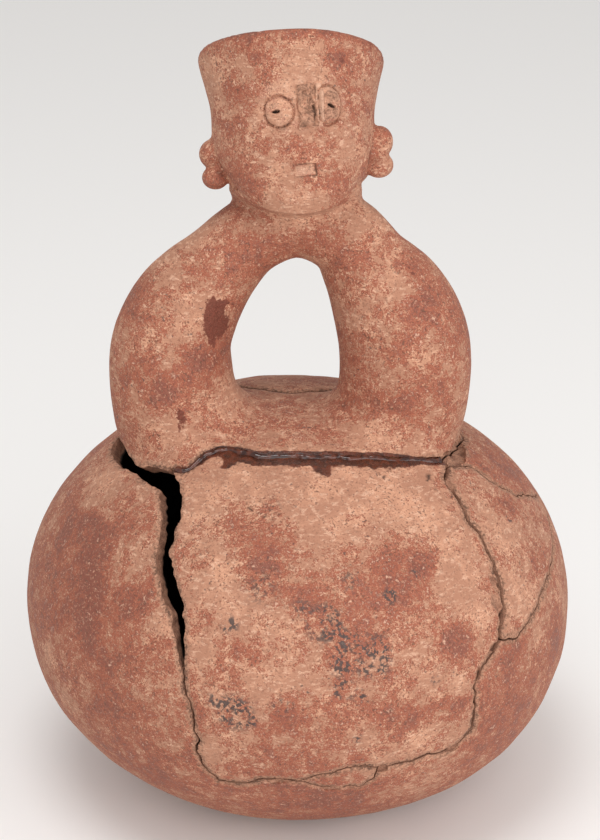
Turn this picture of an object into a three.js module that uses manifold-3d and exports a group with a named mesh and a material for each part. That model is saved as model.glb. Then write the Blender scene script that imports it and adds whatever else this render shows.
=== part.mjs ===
// Stirrup spout vessel of red-slipped earthenware, broken and put back together.
// Millimetres, +Z up. The face on the spout looks along -Y, and the origin is the middle of the underside.
// Angles on the body are degrees: azimuth from the front, towards +X, and elevation from the widest ring.

import * as THREE from 'three';
import { mergeVertices } from 'three/addons/utils/BufferGeometryUtils.js';
import Module from 'manifold-3d';

// Body
const BODY_RADIUS = 87;
const SHOULDER_RISE = 66;         // from the widest ring up to the top of the shoulder
const BELLY_DROP = 67;            // from the widest ring down to the round bottom, before it is flattened
const SHOULDER_FULLNESS = 2.05;   // 2 is an ellipse, more is squarer
const BELLY_FULLNESS = 2.1;
const FOOT_RADIUS = 30;           // the worn flat that the vessel stands on
const WALL = 5.5;
const FLOOR = 6.5;

// Stirrup: one bent tube, its two legs standing on the shoulder
const LEG_SPREAD = 36;            // from the middle of the vessel to the middle of a leg
const LEG_RADIUS = 20;
const LEG_DEPTH = 1.0;            // how deep the tube is for its width
const STIRRUP_RISE = 63;          // from the shoulder to the tube's middle line at the crown
const STIRRUP_SEAT = 4;           // how far below the top of the shoulder the legs start
const STIRRUP_FORWARD = 4;        // how far before the vessel's middle the legs stand
const STIRRUP_LEAN = 7;

// Middle line of the tube from the left root to the right one, and its thickness there, as shares of
// LEG_SPREAD, STIRRUP_RISE and LEG_RADIUS. The potter bent it by hand, so its two sides differ.
const STIRRUP_LINE = [
  { across: -0.98, up: -0.28, thick: 0.72 },
  { across: -1.05, up: 0.00, thick: 0.95 },
  { across: -1.09, up: 0.20, thick: 0.96 },
  { across: -1.09, up: 0.38, thick: 0.93 },
  { across: -0.96, up: 0.56, thick: 0.87 },
  { across: -0.67, up: 0.765, thick: 0.69 },
  { across: -0.38, up: 0.91, thick: 0.61 },
  { across: 0.02, up: 1.00, thick: 0.64 },
  { across: 0.42, up: 0.90, thick: 0.65 },
  { across: 0.61, up: 0.75, thick: 0.78 },
  { across: 0.80, up: 0.57, thick: 0.98 },
  { across: 0.92, up: 0.38, thick: 1.04 },
  { across: 0.94, up: 0.20, thick: 1.01 },
  { across: 0.92, up: 0.00, thick: 0.93 },
  { across: 0.85, up: -0.28, thick: 0.70 },
];

// Head-shaped spout: a flared cup on a short neck, leaning back from the crown of the stirrup
const SPOUT_RISE = 46.4;           // from the crown's middle line up to the middle of the rim
const SPOUT_BACK = 12;            // how far the middle of the rim lies behind the crown
const RIM_TILT = 30;
const RIM_RADIUS = 28.4;
const HEAD_RADIUS = 25;
const HEAD_SHIFT = -1.6;          // the rim's middle lies a little to the left

// Level rings of the spout from the neck's root to the lip: height and setback as shares of SPOUT_RISE
// and SPOUT_BACK, tilt as a share of RIM_TILT, and half width and half depth as shares of HEAD_RADIUS.
const SPOUT_RINGS = [
  { up: 0.00, back: 0.00, tilt: 0.00, wide: 0.62, deep: 0.44 },
  { up: 0.13, back: 0.05, tilt: -0.10, wide: 0.81, deep: 0.64 },
  { up: 0.21, back: -0.02, tilt: -0.23, wide: 0.82, deep: 0.80 },
  { up: 0.25, back: -0.05, tilt: -0.23, wide: 0.88, deep: 0.92 },
  { up: 0.29, back: -0.03, tilt: -0.15, wide: 0.93, deep: 0.95 },
  { up: 0.36, back: 0.05, tilt: 0.00, wide: 0.98, deep: 0.96 },
  { up: 0.51, back: 0.21, tilt: 0.27, wide: 0.99, deep: 0.97 },
  { up: 0.69, back: 0.46, tilt: 0.57, wide: 1.00, deep: 0.99 },
  { up: 0.83, back: 0.68, tilt: 0.77, wide: 1.05, deep: 1.04 },
];
const LIP_STEPS = 3;              // facets round the lip
const LIP_ROUND = 1.3;

// Face, raised from and cut into the front of the spout: up is a share of SPOUT_RISE
const FACE_ROLL = 4;
const EYES = [
  { azimuth: -10, up: 0.69, halfWidth: 4.2, halfHeight: 4.4 },
  { azimuth: 26, up: 0.70, halfWidth: 3.7, halfHeight: 5.4 },
];
const EYE_PROUD = 1.5;
const EYE_SLIT = { width: 3.4, height: 0.9, depth: 1.2 };
const NOSE = { azimuth: 9, up: 0.72, width: 6, height: 12.6, proud: 1.0 };
const MOUTH = { azimuth: 7.5, up: 0.44, width: 7, height: 3.7, depth: 1.0 };
const EAR_LOBES = [
  { side: -1, up: 0.42, halfDepth: 5.0, halfHeight: 3.7, proud: 4.6 },
  { side: -1, up: 0.27, halfDepth: 4.5, halfHeight: 3.2, proud: 4.4 },
  { side: 1, up: 0.49, halfDepth: 5.0, halfHeight: 4.0, proud: 5.0 },
  { side: 1, up: 0.35, halfDepth: 4.5, halfHeight: 3.4, proud: 5.0 },
];

// Breaks
const CRACK_WIDTH = 0.7;
const RESIN_CRACK_WIDTH = 2.1;
const RESIN_CLEARANCE = 0.3;
const RESIN_PROUD = 0.9;
const RESIN_DEPTH = 4.5;
const CRACK_OVERRUN = 1.0;        // how far a crack runs past its end into the next one

// The open gap on the left: azimuth and elevation of the body's lip, then of the sherd's edge opposite
const LEFT_GAP = [
  [-98, 40.5, -96, 42.5],
  [-90, 39.5, -86, 43.5],
  [-81, 40, -74, 44.2],
  [-71, 41, -65, 45.2],
  [-62, 42.5, -60, 46.5],
  [-55, 42.5, -56, 47.5],
  [-50, 42, -51, 48.5],
  [-44, 40, -42, 45],
  [-41, 38, -37, 41],
  [-38, 33, -34, 35.5],
  [-36, 30, -32, 30],
  [-32, 24, -29, 25.5],
  [-29, 20, -26, 21],
  [-26, 15, -24, 16],
  [-24.3, 11, -23.2, 11.5],
  [-23.3, 8, -22.7, 8],
];
const LEFT_CRACK = [[-23, 9], [-22, 3], [-21, -1], [-20, -7], [-19.5, -12.5], [-16.5, -17.4], [-11, -17.2],
  [-7, -16], [-0.7, -15.9]];
const CHIP_TOP = [[-0.7, -15.9], [5.3, -13.7], [8.4, -12.6], [13.7, -12.5], [17.5, -13.6]];
const CHIP_BOTTOM = [[-0.7, -15.9], [5.9, -18.4], [13.4, -19], [16.8, -16.6], [17.5, -13.6]];
const LOWER_RIGHT_CRACK = [[17.5, -13.6], [24, -13.5], [32.6, -13], [36.6, -11.4], [38.4, -9.4], [37.6, -2],
  [38.5, 2], [40.7, 6.4], [45.7, 8.2]];
const RIGHT_CRACK = [[45.7, 8.2], [49, 13.5], [49.6, 18], [50.6, 26], [51, 33], [54, 38], [56, 43], [63, 45.5],
  [64.3, 47.5]];
const OUTER_CRACK = [[45.7, 8.2], [50.6, 7], [57.7, 9], [67.8, 12.4], [79, 14.8], [92, 17.5], [95.5, 20.5],
  [79, 29], [73.5, 35], [72.5, 41], [67, 44], [63, 45.5]];
const RESIN_CRACK = [[-51.5, 48.5], [-46, 50.5], [-44.5, 54], [-44.5, 56.5], [-41, 59.6], [-20, 59.8],
  [5, 60.6], [27, 58.5], [45, 54], [56, 50], [64.3, 47.5]];
const BACK_CRACK = [[64.3, 47.5], [78, 46.3], [91, 45], [101, 47], [112, 52], [122, 62], [127.5, 75.5],
  [142, 81], [-165, 84.6], [-136, 78.4], [-131, 68.5], [-125, 56], [-112, 47], [-97, 41.5]];

// A spot on each piece, by which it is known once the cracks have parted the wall
const PIECE_SPOTS = {
  vessel_body: [180, 0],
  stirrup_and_head_spout: [0, 75],
  front_wall_sherd: [10, 20],
  right_shoulder_sherd: [65, 25],
  lower_front_chip: [10, -15.6],
};

// Facets
const BODY_SIDES = 56;
const BODY_ROWS = 19;
const CAVITY_SIDES = 32;
const CAVITY_ROWS = 11;
const TUBE_SIDES = 20;
const TUBE_ROWS = 26;
const BORE_SIDES = 12;
const BORE_ROWS = 18;
const SPOUT_SIDES = 32;
const SPOUT_BORE_SIDES = 16;
const PELLET_SIDES = 10;
const PELLET_ROWS = 6;

const wasm = await Module();
wasm.setup();

const radians = THREE.MathUtils.degToRad;

// Height of the widest ring: the flat foot cuts the round bottom where it is FOOT_RADIUS wide.
const WIDEST_Z = BELLY_DROP * (1 - (FOOT_RADIUS / BODY_RADIUS) ** BELLY_FULLNESS) ** (1 / BELLY_FULLNESS);
const SHOULDER_Z = WIDEST_Z + SHOULDER_RISE;
const BODY_CENTRE = new THREE.Vector3(0, 0, WIDEST_Z);

// Distance from the body's centre to its surface, or to the surface that lies inset within it.
function bodyReach(elevation, inset = 0) {
  const up = elevation > 0;
  const power = up ? SHOULDER_FULLNESS : BELLY_FULLNESS;
  const height = (up ? SHOULDER_RISE : BELLY_DROP) - inset;
  const flat = Math.cos(elevation) / (BODY_RADIUS - inset);
  const steep = Math.abs(Math.sin(elevation)) / height;
  return (flat ** power + steep ** power) ** (-1 / power);
}

// A closed geometry as a solid that can be joined and cut.
function solid(geometry) {
  geometry.deleteAttribute('normal');
  geometry.deleteAttribute('uv');
  const merged = mergeVertices(geometry);
  const corners = merged.index.array;
  const triangles = [];
  for (let i = 0; i < corners.length; i += 3) {
    const [a, b, c] = corners.slice(i, i + 3);
    if (a !== b && b !== c && c !== a) triangles.push(a, b, c);
  }
  return new wasm.Manifold(new wasm.Mesh({
    numProp: 3,
    vertProperties: new Float32Array(merged.attributes.position.array),
    triVerts: new Uint32Array(triangles),
  }));
}

// A solid skinned over rings of points, each ring turning the same way round the line through them.
function loft(rings) {
  const sides = rings[0].length;
  const positions = [];
  const triangles = [];
  for (const ring of rings) {
    for (const point of ring) positions.push(point.x, point.y, point.z);
  }
  for (let row = 0; row + 1 < rings.length; row++) {
    for (let side = 0; side < sides; side++) {
      const here = row * sides + side;
      const next = row * sides + (side + 1) % sides;
      triangles.push(here, next, next + sides, here, next + sides, here + sides);
    }
  }
  for (const [ring, first, flip] of [[rings[0], 0, true], [rings.at(-1), (rings.length - 1) * sides, false]]) {
    const middle = new THREE.Vector3();
    for (const point of ring) middle.add(point);
    middle.divideScalar(sides);
    const hub = positions.length / 3;
    positions.push(middle.x, middle.y, middle.z);
    for (let side = 0; side < sides; side++) {
      const a = first + side;
      const b = first + (side + 1) % sides;
      triangles.push(hub, flip ? b : a, flip ? a : b);
    }
  }
  const geometry = new THREE.BufferGeometry();
  geometry.setAttribute('position', new THREE.Float32BufferAttribute(positions, 3));
  geometry.setIndex(triangles);
  return solid(geometry);
}

// The body turned as one lathe form, flat below at floorZ: the outside, or the cavity when inset.
function bodyForm(inset, floorZ, sides, rows) {
  const drop = (WIDEST_Z - floorZ) / (BELLY_DROP - inset);
  const floorRadius = (BODY_RADIUS - inset) * (1 - drop ** BELLY_FULLNESS) ** (1 / BELLY_FULLNESS);
  const lowest = Math.atan2(floorZ - WIDEST_Z, floorRadius);
  const profile = [new THREE.Vector2(0, floorZ)];
  for (let row = 0; row < rows; row++) {
    const elevation = THREE.MathUtils.lerp(lowest, Math.PI / 2, row / rows);
    const reach = bodyReach(elevation, inset);
    profile.push(new THREE.Vector2(reach * Math.cos(elevation), WIDEST_Z + reach * Math.sin(elevation)));
  }
  profile.push(new THREE.Vector2(0, SHOULDER_Z - inset));
  return solid(new THREE.LatheGeometry(profile, sides).rotateX(Math.PI / 2));
}

// Frame of the stirrup: it stands in a plane that leans back from the shoulder.
const stirrupUp = new THREE.Vector3(0, Math.sin(radians(STIRRUP_LEAN)), Math.cos(radians(STIRRUP_LEAN)));
const stirrupFront = new THREE.Vector3(0, -stirrupUp.z, stirrupUp.y);
const stirrupRoot = new THREE.Vector3(0, -STIRRUP_FORWARD, SHOULDER_Z - STIRRUP_SEAT);
const crown = stirrupRoot.clone().addScaledVector(stirrupUp, STIRRUP_RISE);

// The bent tube of the stirrup: the outside, or its bore when inset.
function stirrupTube(inset, sides, rows) {
  const middles = STIRRUP_LINE.map(({ across, up }) => stirrupRoot.clone()
    .addScaledVector(stirrupUp, up * STIRRUP_RISE)
    .setX(across * LEG_SPREAD));
  const middleLine = new THREE.CatmullRomCurve3(middles);
  const thickness = new THREE.SplineCurve(STIRRUP_LINE.map(({ thick }, i) => new THREE.Vector2(i, thick)));
  const rings = [];
  for (let row = 0; row <= rows; row++) {
    const along = row / rows;
    const middle = middleLine.getPoint(along);
    const outward = new THREE.Vector3().crossVectors(stirrupFront, middleLine.getTangent(along));
    const radius = thickness.getPoint(along).y * LEG_RADIUS;
    const ring = [];
    for (let side = 0; side < sides; side++) {
      const turn = 2 * Math.PI * side / sides;
      ring.push(middle.clone()
        .addScaledVector(outward, (radius - inset) * Math.cos(turn))
        .addScaledVector(stirrupFront, (radius * LEG_DEPTH - inset) * Math.sin(turn)));
    }
    rings.push(ring);
  }
  return loft(rings);
}

// The spout's rings with the rim added, in millimetres and radians.
const spoutRings = [...SPOUT_RINGS, { up: 1, back: 1, tilt: 1, wide: RIM_RADIUS / HEAD_RADIUS,
  deep: RIM_RADIUS / HEAD_RADIUS }].map(({ up, back, tilt, wide, deep }) => ({
  up,
  middle: new THREE.Vector3(HEAD_SHIFT * up, crown.y + back * SPOUT_BACK, crown.z + up * SPOUT_RISE),
  tilt: radians(tilt * RIM_TILT),
  halfWidth: wide * HEAD_RADIUS,
  halfDepth: deep * HEAD_RADIUS,
}));

// A point of a spout ring: angle from the front towards +X, inset inwards, lift along the ring's axis.
function ringPoint(ring, angle, inset = 0, lift = 0) {
  const forward = (ring.halfDepth - inset) * Math.cos(angle);
  return new THREE.Vector3((ring.halfWidth - inset) * Math.sin(angle), -forward, lift)
    .applyAxisAngle(new THREE.Vector3(1, 0, 0), -ring.tilt)
    .add(ring.middle);
}

function ringPoints(ring, sides, inset, lift) {
  return Array.from({ length: sides }, (_, side) => ringPoint(ring, 2 * Math.PI * side / sides, inset, lift));
}

// The head-shaped cup with its rounded lip.
function spoutOutside() {
  const rings = spoutRings.map((ring) => ringPoints(ring, SPOUT_SIDES, 0, 0));
  for (let step = 1; step <= LIP_STEPS; step++) {
    const turn = Math.PI / 2 * step / LIP_STEPS;
    const inset = LIP_ROUND * (1 - Math.cos(turn));
    rings.push(ringPoints(spoutRings.at(-1), SPOUT_SIDES, inset, LIP_ROUND * Math.sin(turn)));
  }
  return loft(rings);
}

// The hollow of the spout, from the bore of the stirrup up through the mouth.
function spoutBore() {
  const rings = spoutRings.map((ring) => ringPoints(ring, SPOUT_BORE_SIDES, WALL, 0));
  rings.push(ringPoints(spoutRings.at(-1), SPOUT_BORE_SIDES, WALL, 2 * LIP_ROUND));
  return loft(rings);
}

// Where a feature of the face sits: a matrix whose Z points out of the head and whose Y points up it.
function facePlace(up, angle, roll = 0) {
  const above = spoutRings.findIndex((ring) => ring.up >= up);
  const [low, high] = [spoutRings[above - 1], spoutRings[above]];
  const share = (up - low.up) / (high.up - low.up);
  const foot = ringPoint(low, angle);
  const top = ringPoint(high, angle);
  const upward = top.clone().sub(foot).normalize();
  const beside = ringPoint(low, angle + 0.01).lerp(ringPoint(high, angle + 0.01), share);
  const place = foot.lerp(top, share);
  const across = beside.sub(place).normalize();
  const out = new THREE.Vector3().crossVectors(across, upward).normalize();
  return new THREE.Matrix4().makeBasis(across, new THREE.Vector3().crossVectors(out, across), out)
    .setPosition(place)
    .multiply(new THREE.Matrix4().makeRotationZ(radians(roll)));
}

function pellet(halfWidth, halfHeight, halfDepth) {
  return new THREE.SphereGeometry(1, PELLET_SIDES, PELLET_ROWS).scale(halfWidth, halfHeight, halfDepth);
}

// Eye pellets, the stump of the nose and the ear lobes are pressed on; slits and mouth are pressed in.
function addFace(head) {
  for (const { azimuth, up, halfWidth, halfHeight } of EYES) {
    const place = facePlace(up, radians(azimuth), FACE_ROLL);
    const slit = new THREE.BoxGeometry(EYE_SLIT.width, EYE_SLIT.height, 2 * EYE_SLIT.depth)
      .translate(0, 0, EYE_PROUD);
    head = head.add(solid(pellet(halfWidth, halfHeight, EYE_PROUD).applyMatrix4(place)));
    head = head.subtract(solid(slit.applyMatrix4(place)));
  }
  const nose = new THREE.BoxGeometry(NOSE.width, NOSE.height, 2 * NOSE.proud);
  head = head.add(solid(nose.applyMatrix4(facePlace(NOSE.up, radians(NOSE.azimuth), FACE_ROLL))));
  for (const { side, up, halfDepth, halfHeight, proud } of EAR_LOBES) {
    const lobe = pellet(halfDepth, halfHeight, proud);
    head = head.add(solid(lobe.applyMatrix4(facePlace(up, side * Math.PI / 2))));
  }
  const mouth = new THREE.BoxGeometry(MOUTH.width, MOUTH.height, 2 * MOUTH.depth);
  return head.subtract(solid(mouth.applyMatrix4(facePlace(MOUTH.up, radians(MOUTH.azimuth), FACE_ROLL))));
}

function direction([azimuth, elevation]) {
  const flat = Math.cos(radians(elevation));
  return new THREE.Vector3(flat * Math.sin(radians(azimuth)), -flat * Math.cos(radians(azimuth)),
    Math.sin(radians(elevation)));
}

// A point on the way out from the body's centre, proud of the body's surface there.
function onBody(aim, proud) {
  const reach = bodyReach(Math.asin(aim.z)) + proud;
  return BODY_CENTRE.clone().addScaledVector(aim, reach);
}

// A strip through the wall: each station has the directions of its two edges.
function wallStrip(stations, inside, outside) {
  return loft(stations.map(([left, right]) => [
    onBody(left, -inside),
    onBody(right, -inside),
    onBody(right, outside),
    onBody(left, outside),
  ]));
}

// Stations of an even strip along a line of directions, run on past both its ends.
function evenStations(line, width, overrun) {
  const aims = line.map(direction);
  const stretch = overrun / BODY_RADIUS;
  const ends = [[aims[0], aims[1]], [aims.at(-1), aims.at(-2)]].map(([end, inner]) => end.clone()
    .addScaledVector(end.clone().sub(inner).normalize(), stretch).normalize());
  const path = [ends[0], ...aims.slice(1, -1), ends[1]];
  return path.map((aim, i) => {
    const before = path[Math.max(i - 1, 0)];
    const after = path[Math.min(i + 1, path.length - 1)];
    const half = width / 2 / bodyReach(Math.asin(aim.z));
    const sideways = new THREE.Vector3().crossVectors(aim, after.clone().sub(before)).setLength(half);
    return [aim.clone().sub(sideways).normalize(), aim.clone().add(sideways).normalize()];
  });
}

const THROUGH = 2 * WALL;         // how far a cut reaches inwards, past the wall
const CLEAR = 5;                  // how far a cut stands out of the surface

function crack(line, width = CRACK_WIDTH) {
  return wallStrip(evenStations(line, width, CRACK_OVERRUN), THROUGH, CLEAR);
}

// The whole vessel as thrown, before it broke.
const outside = bodyForm(0, 0, BODY_SIDES, BODY_ROWS)
  .add(stirrupTube(0, TUBE_SIDES, TUBE_ROWS))
  .add(addFace(spoutOutside()));
const hollow = bodyForm(WALL, FLOOR, CAVITY_SIDES, CAVITY_ROWS)
  .add(stirrupTube(WALL, BORE_SIDES, BORE_ROWS))
  .add(spoutBore());
let broken = outside.subtract(hollow);

const gapStations = LEFT_GAP.map(([a, b, c, d]) => [direction([a, b]), direction([c, d])]);
broken = broken.subtract(wallStrip(gapStations, THROUGH, CLEAR));
for (const line of [LEFT_CRACK, CHIP_TOP, CHIP_BOTTOM, LOWER_RIGHT_CRACK, RIGHT_CRACK, OUTER_CRACK, BACK_CRACK]) {
  broken = broken.subtract(crack(line));
}
broken = broken.subtract(crack(RESIN_CRACK, RESIN_CRACK_WIDTH));
const pieces = broken.decompose();

// The piece that a thin needle through its named spot meets.
function pieceAt(spot) {
  const [azimuth, elevation] = spot;
  const line = [[azimuth - 0.5, elevation], [azimuth + 0.5, elevation]];
  const needle = wallStrip(evenStations(line, CRACK_WIDTH, 0), WALL, 0);
  return pieces.find((piece) => piece.intersect(needle).volume() > 0);
}

// The glossy bead of glue that fills the break below the stirrup and stands a little proud of it.
const beadStations = evenStations(RESIN_CRACK, RESIN_CRACK_WIDTH - 2 * RESIN_CLEARANCE, -CRACK_OVERRUN);
const resinBead = wallStrip(beadStations, RESIN_DEPTH, RESIN_PROUD);

const vessel = new THREE.Group();

function addPiece(name, form, colour, roughness) {
  const { vertProperties, triVerts } = form.getMesh();
  const geometry = new THREE.BufferGeometry();
  geometry.setAttribute('position', new THREE.BufferAttribute(vertProperties, 3));
  geometry.setIndex(new THREE.BufferAttribute(triVerts, 1));
  geometry.computeVertexNormals();
  const mesh = new THREE.Mesh(geometry, new THREE.MeshStandardMaterial({
    color: colour,
    roughness,
    metalness: 0,
    flatShading: true,
  }));
  mesh.name = name;
  vessel.add(mesh);
}

addPiece('vessel_body', pieceAt(PIECE_SPOTS.vessel_body), 0xa85a40, 0.75);
addPiece('stirrup_and_head_spout', pieceAt(PIECE_SPOTS.stirrup_and_head_spout), 0xb87052, 0.8);
addPiece('front_wall_sherd', pieceAt(PIECE_SPOTS.front_wall_sherd), 0xc0906e, 0.85);
addPiece('right_shoulder_sherd', pieceAt(PIECE_SPOTS.right_shoulder_sherd), 0xb98466, 0.85);
addPiece('lower_front_chip', pieceAt(PIECE_SPOTS.lower_front_chip), 0xb4795c, 0.85);
addPiece('resin_bead', resinBead, 0x3c100a, 0.15);

export default vessel;
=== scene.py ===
# Stirrup spout vessel of red-slipped earthenware, broken and put back together.
# The clay is formed in millimetres, as the potter's sizes are, and each finished piece is made in metres.
# The face on the spout looks along -Y. Angles on the body are degrees: azimuth from the front towards +X,
# and elevation from the widest ring.

import math

import bpy
import numpy as np
from mathutils.kdtree import KDTree
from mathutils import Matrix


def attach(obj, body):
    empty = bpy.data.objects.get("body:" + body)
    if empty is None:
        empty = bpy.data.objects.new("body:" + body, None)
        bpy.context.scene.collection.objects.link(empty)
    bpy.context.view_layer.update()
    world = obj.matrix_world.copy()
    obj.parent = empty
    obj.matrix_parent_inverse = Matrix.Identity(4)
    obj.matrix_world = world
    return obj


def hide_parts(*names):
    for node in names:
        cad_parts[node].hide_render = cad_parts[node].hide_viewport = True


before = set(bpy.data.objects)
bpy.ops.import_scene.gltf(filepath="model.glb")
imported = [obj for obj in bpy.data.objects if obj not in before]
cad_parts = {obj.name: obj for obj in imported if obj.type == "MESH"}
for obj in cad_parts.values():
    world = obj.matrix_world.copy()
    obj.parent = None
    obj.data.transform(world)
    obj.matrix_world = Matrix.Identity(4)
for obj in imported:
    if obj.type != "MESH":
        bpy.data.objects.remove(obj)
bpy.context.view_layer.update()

# Body
# A round, slightly flattened body of thin earthenware, built up from coils and scraped smooth.
# It stands on a small worn flat, and its lower right side swells a little more than the left.
BODY_RADIUS = 87.0
SHOULDER_RISE = 66.0
BELLY_DROP = 67.0
SHOULDER_FULLNESS = 2.05
BELLY_FULLNESS = 2.1
FOOT_RADIUS = 30.0
FOOT_ROUND = 6.0
WALL = 5.5
FLOOR = 6.5
SWELL = 2.6
SWELL_AIM = np.array([0.766, -0.241, -0.596])
SWELL_SPREAD = math.radians(34)
WIDEST_Z = BELLY_DROP * (1 - (FOOT_RADIUS / BODY_RADIUS) ** BELLY_FULLNESS) ** (1 / BELLY_FULLNESS)
SHOULDER_Z = WIDEST_Z + SHOULDER_RISE
BODY_MIDDLE = np.array([0.0, 0.0, WIDEST_Z])


def body_reach(elevation):
    """Distance from the body's middle to its skin at an elevation in radians."""
    upper = elevation > 0
    power = np.where(upper, SHOULDER_FULLNESS, BELLY_FULLNESS)
    height = np.where(upper, SHOULDER_RISE, BELLY_DROP)
    flat = np.abs(np.cos(elevation)) / BODY_RADIUS
    steep = np.abs(np.sin(elevation)) / height
    return (flat ** power + steep ** power) ** (-1 / power)


def body_distance(points):
    """How far points lie outside the body, and less than nothing inside it."""
    offset = points - BODY_MIDDLE
    out = np.linalg.norm(offset, axis=1) + 1e-6
    elevation = np.arcsin(np.clip(offset[:, 2] / out, -1, 1))
    turn = np.arccos(np.clip(offset @ SWELL_AIM / out, -1, 1))
    return out - body_reach(elevation) - SWELL * np.exp(-((turn / SWELL_SPREAD) ** 2))


def joined(first, second, fillet):
    """Two forms luted together, with a smeared fillet of clay along the joint."""
    near = np.maximum(fillet - np.abs(first - second), 0) / fillet
    return np.minimum(first, second) - near * near * fillet / 4


def trimmed(first, second, rounding):
    """What is inside both forms, with the edge between them rounded over."""
    return -joined(-first, -second, rounding)


# Stirrup
# One hollow tube, bent by hand over the shoulder, so its two sides differ. Its legs are luted to the
# shoulder and smoothed over with wet clay, most of all in front.
LEG_SPREAD = 36.0
LEG_RADIUS = 20.0
STIRRUP_RISE = 63.0
STIRRUP_SEAT = 4.0
STIRRUP_FORWARD = 4.0
STIRRUP_LEAN = math.radians(7)
STIRRUP_REGION = (72.0, 42.0, 98.0)      # half width, half depth and lowest height of the space it fills
FILLET_OUTER = 4.0
FILLET_INNER = 12.0
# Middle line from the left root to the right one: across, up and thickness, as shares of the sizes above
STIRRUP_LINE = np.array([
    [-0.98, -0.28, 0.72],
    [-1.05, 0.00, 0.95],
    [-1.09, 0.20, 0.96],
    [-1.08, 0.38, 0.915],
    [-0.95, 0.56, 0.84],
    [-0.66, 0.76, 0.66],
    [-0.38, 0.91, 0.595],
    [0.02, 1.00, 0.63],
    [0.42, 0.90, 0.63],
    [0.615, 0.745, 0.72],
    [0.81, 0.565, 0.92],
    [0.925, 0.38, 1.01],
    [0.94, 0.20, 1.01],
    [0.92, 0.00, 0.93],
    [0.85, -0.28, 0.70],
])
STIRRUP_STEPS = 170


def smooth_line(stations, knots, count):
    """A smooth line through stations, each a row of values, at count even steps of the knots."""
    slopes = np.gradient(stations, knots, axis=0)
    at = np.linspace(knots[0], knots[-1], count)
    span = np.clip(np.searchsorted(knots, at, side="right") - 1, 0, len(knots) - 2)
    width = np.diff(knots)[span][:, None]
    t = (at[:, None] - knots[span][:, None]) / width
    start, end = stations[span], stations[span + 1]
    leave, arrive = slopes[span] * width, slopes[span + 1] * width
    return ((2 * t ** 3 - 3 * t ** 2 + 1) * start + (t ** 3 - 2 * t ** 2 + t) * leave
            + (3 * t ** 2 - 2 * t ** 3) * end + (t ** 3 - t ** 2) * arrive)


stirrup_up = np.array([0.0, math.sin(STIRRUP_LEAN), math.cos(STIRRUP_LEAN)])
stirrup_root = np.array([0.0, -STIRRUP_FORWARD, SHOULDER_Z - STIRRUP_SEAT])
crown = stirrup_root + STIRRUP_RISE * stirrup_up
stirrup_stations = np.column_stack([
    stirrup_root + STIRRUP_LINE[:, 1:2] * STIRRUP_RISE * stirrup_up
    + STIRRUP_LINE[:, :1] * [LEG_SPREAD, 0, 0],
    STIRRUP_LINE[:, 2] * LEG_RADIUS,
])
stirrup_chords = np.linalg.norm(np.diff(stirrup_stations[:, :3], axis=0), axis=1)
stirrup_knots = np.concatenate([[0], np.cumsum(np.sqrt(stirrup_chords))])
stirrup_line = smooth_line(stirrup_stations, stirrup_knots, STIRRUP_STEPS)


def stirrup_distance(points):
    """How far points lie outside the bent tube."""
    middles, radii = stirrup_line[:, :3], stirrup_line[:, 3]
    out = np.empty(len(points))
    for start in range(0, len(points), 20000):
        some = points[start:start + 20000]
        square = (some ** 2).sum(1)[:, None] - 2 * some @ middles.T + (middles ** 2).sum(1)
        out[start:start + 20000] = (np.sqrt(np.maximum(square, 0)) - radii).min(1)
    return out


# Head-shaped spout
# A flared cup on a short neck, leaning back from the crown. The jaw overhangs the neck in a soft ledge,
# the ears are two pinched lobes a side, and the face is pressed on: two slit pellets, the scar of a
# broken nose and the small square scar of a mouth.
SPOUT_RISE = 46.4
SPOUT_BACK = 12.0
RIM_TILT = math.radians(30)
RIM_RADIUS = 28.4
HEAD_RADIUS = 25.0
HEAD_SHIFT = -1.6
NECK_FILLET = 3.0
LIP_ROUND = 3.4
LIP_RISE = 1.5
SPOUT_REGION = (44.0, -36.0, 58.0, 184.0)      # half width, front, back and lowest height
SPOUT_STEPS = 120
HEAD_ABOVE = 186.0
# Rings from the neck's root to above the lip: height and setback as shares of SPOUT_RISE and SPOUT_BACK,
# tilt as a share of RIM_TILT, half width and half depth as shares of HEAD_RADIUS
SPOUT_RINGS = np.array([
    [0.00, 0.00, 0.00, 0.62, 0.44],
    [0.13, 0.05, -0.10, 0.81, 0.64],
    [0.20, -0.01, -0.23, 0.82, 0.78],
    [0.235, -0.04, -0.23, 0.88, 0.90],
    [0.28, -0.03, -0.16, 0.935, 0.95],
    [0.36, 0.05, 0.00, 0.98, 0.96],
    [0.51, 0.21, 0.27, 0.99, 0.97],
    [0.69, 0.46, 0.57, 1.00, 0.99],
    [0.83, 0.68, 0.77, 1.05, 1.04],
    [1.00, 1.00, 1.00, RIM_RADIUS / HEAD_RADIUS, RIM_RADIUS / HEAD_RADIUS],
    [1.16, 1.31, 1.00, 1.17, 1.17],
])
EAR_LOBES = [
    {"side": -1, "up": 0.425, "round": 0.02, "half_size": (4.4, 5.2, 4.4), "proud": -0.3},
    {"side": -1, "up": 0.30, "round": 0.10, "half_size": (4.2, 4.4, 3.6), "proud": 0.6},
    {"side": 1, "up": 0.50, "round": 0.02, "half_size": (4.4, 5.2, 5.0), "proud": 1.0},
    {"side": 1, "up": 0.375, "round": 0.10, "half_size": (4.6, 4.6, 4.0), "proud": 1.1},
]
EAR_FILLET = 1.6
EAR_PITS = [{"side": -1, "up": 0.36, "round": 0.20}, {"side": 1, "up": 0.43, "round": 0.20}]
EAR_PIT = {"half_width": 2.0, "half_height": 2.6, "depth": 0.9}
FACE_ROLL = math.radians(4)
FACE_RADIUS = 24.5
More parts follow.
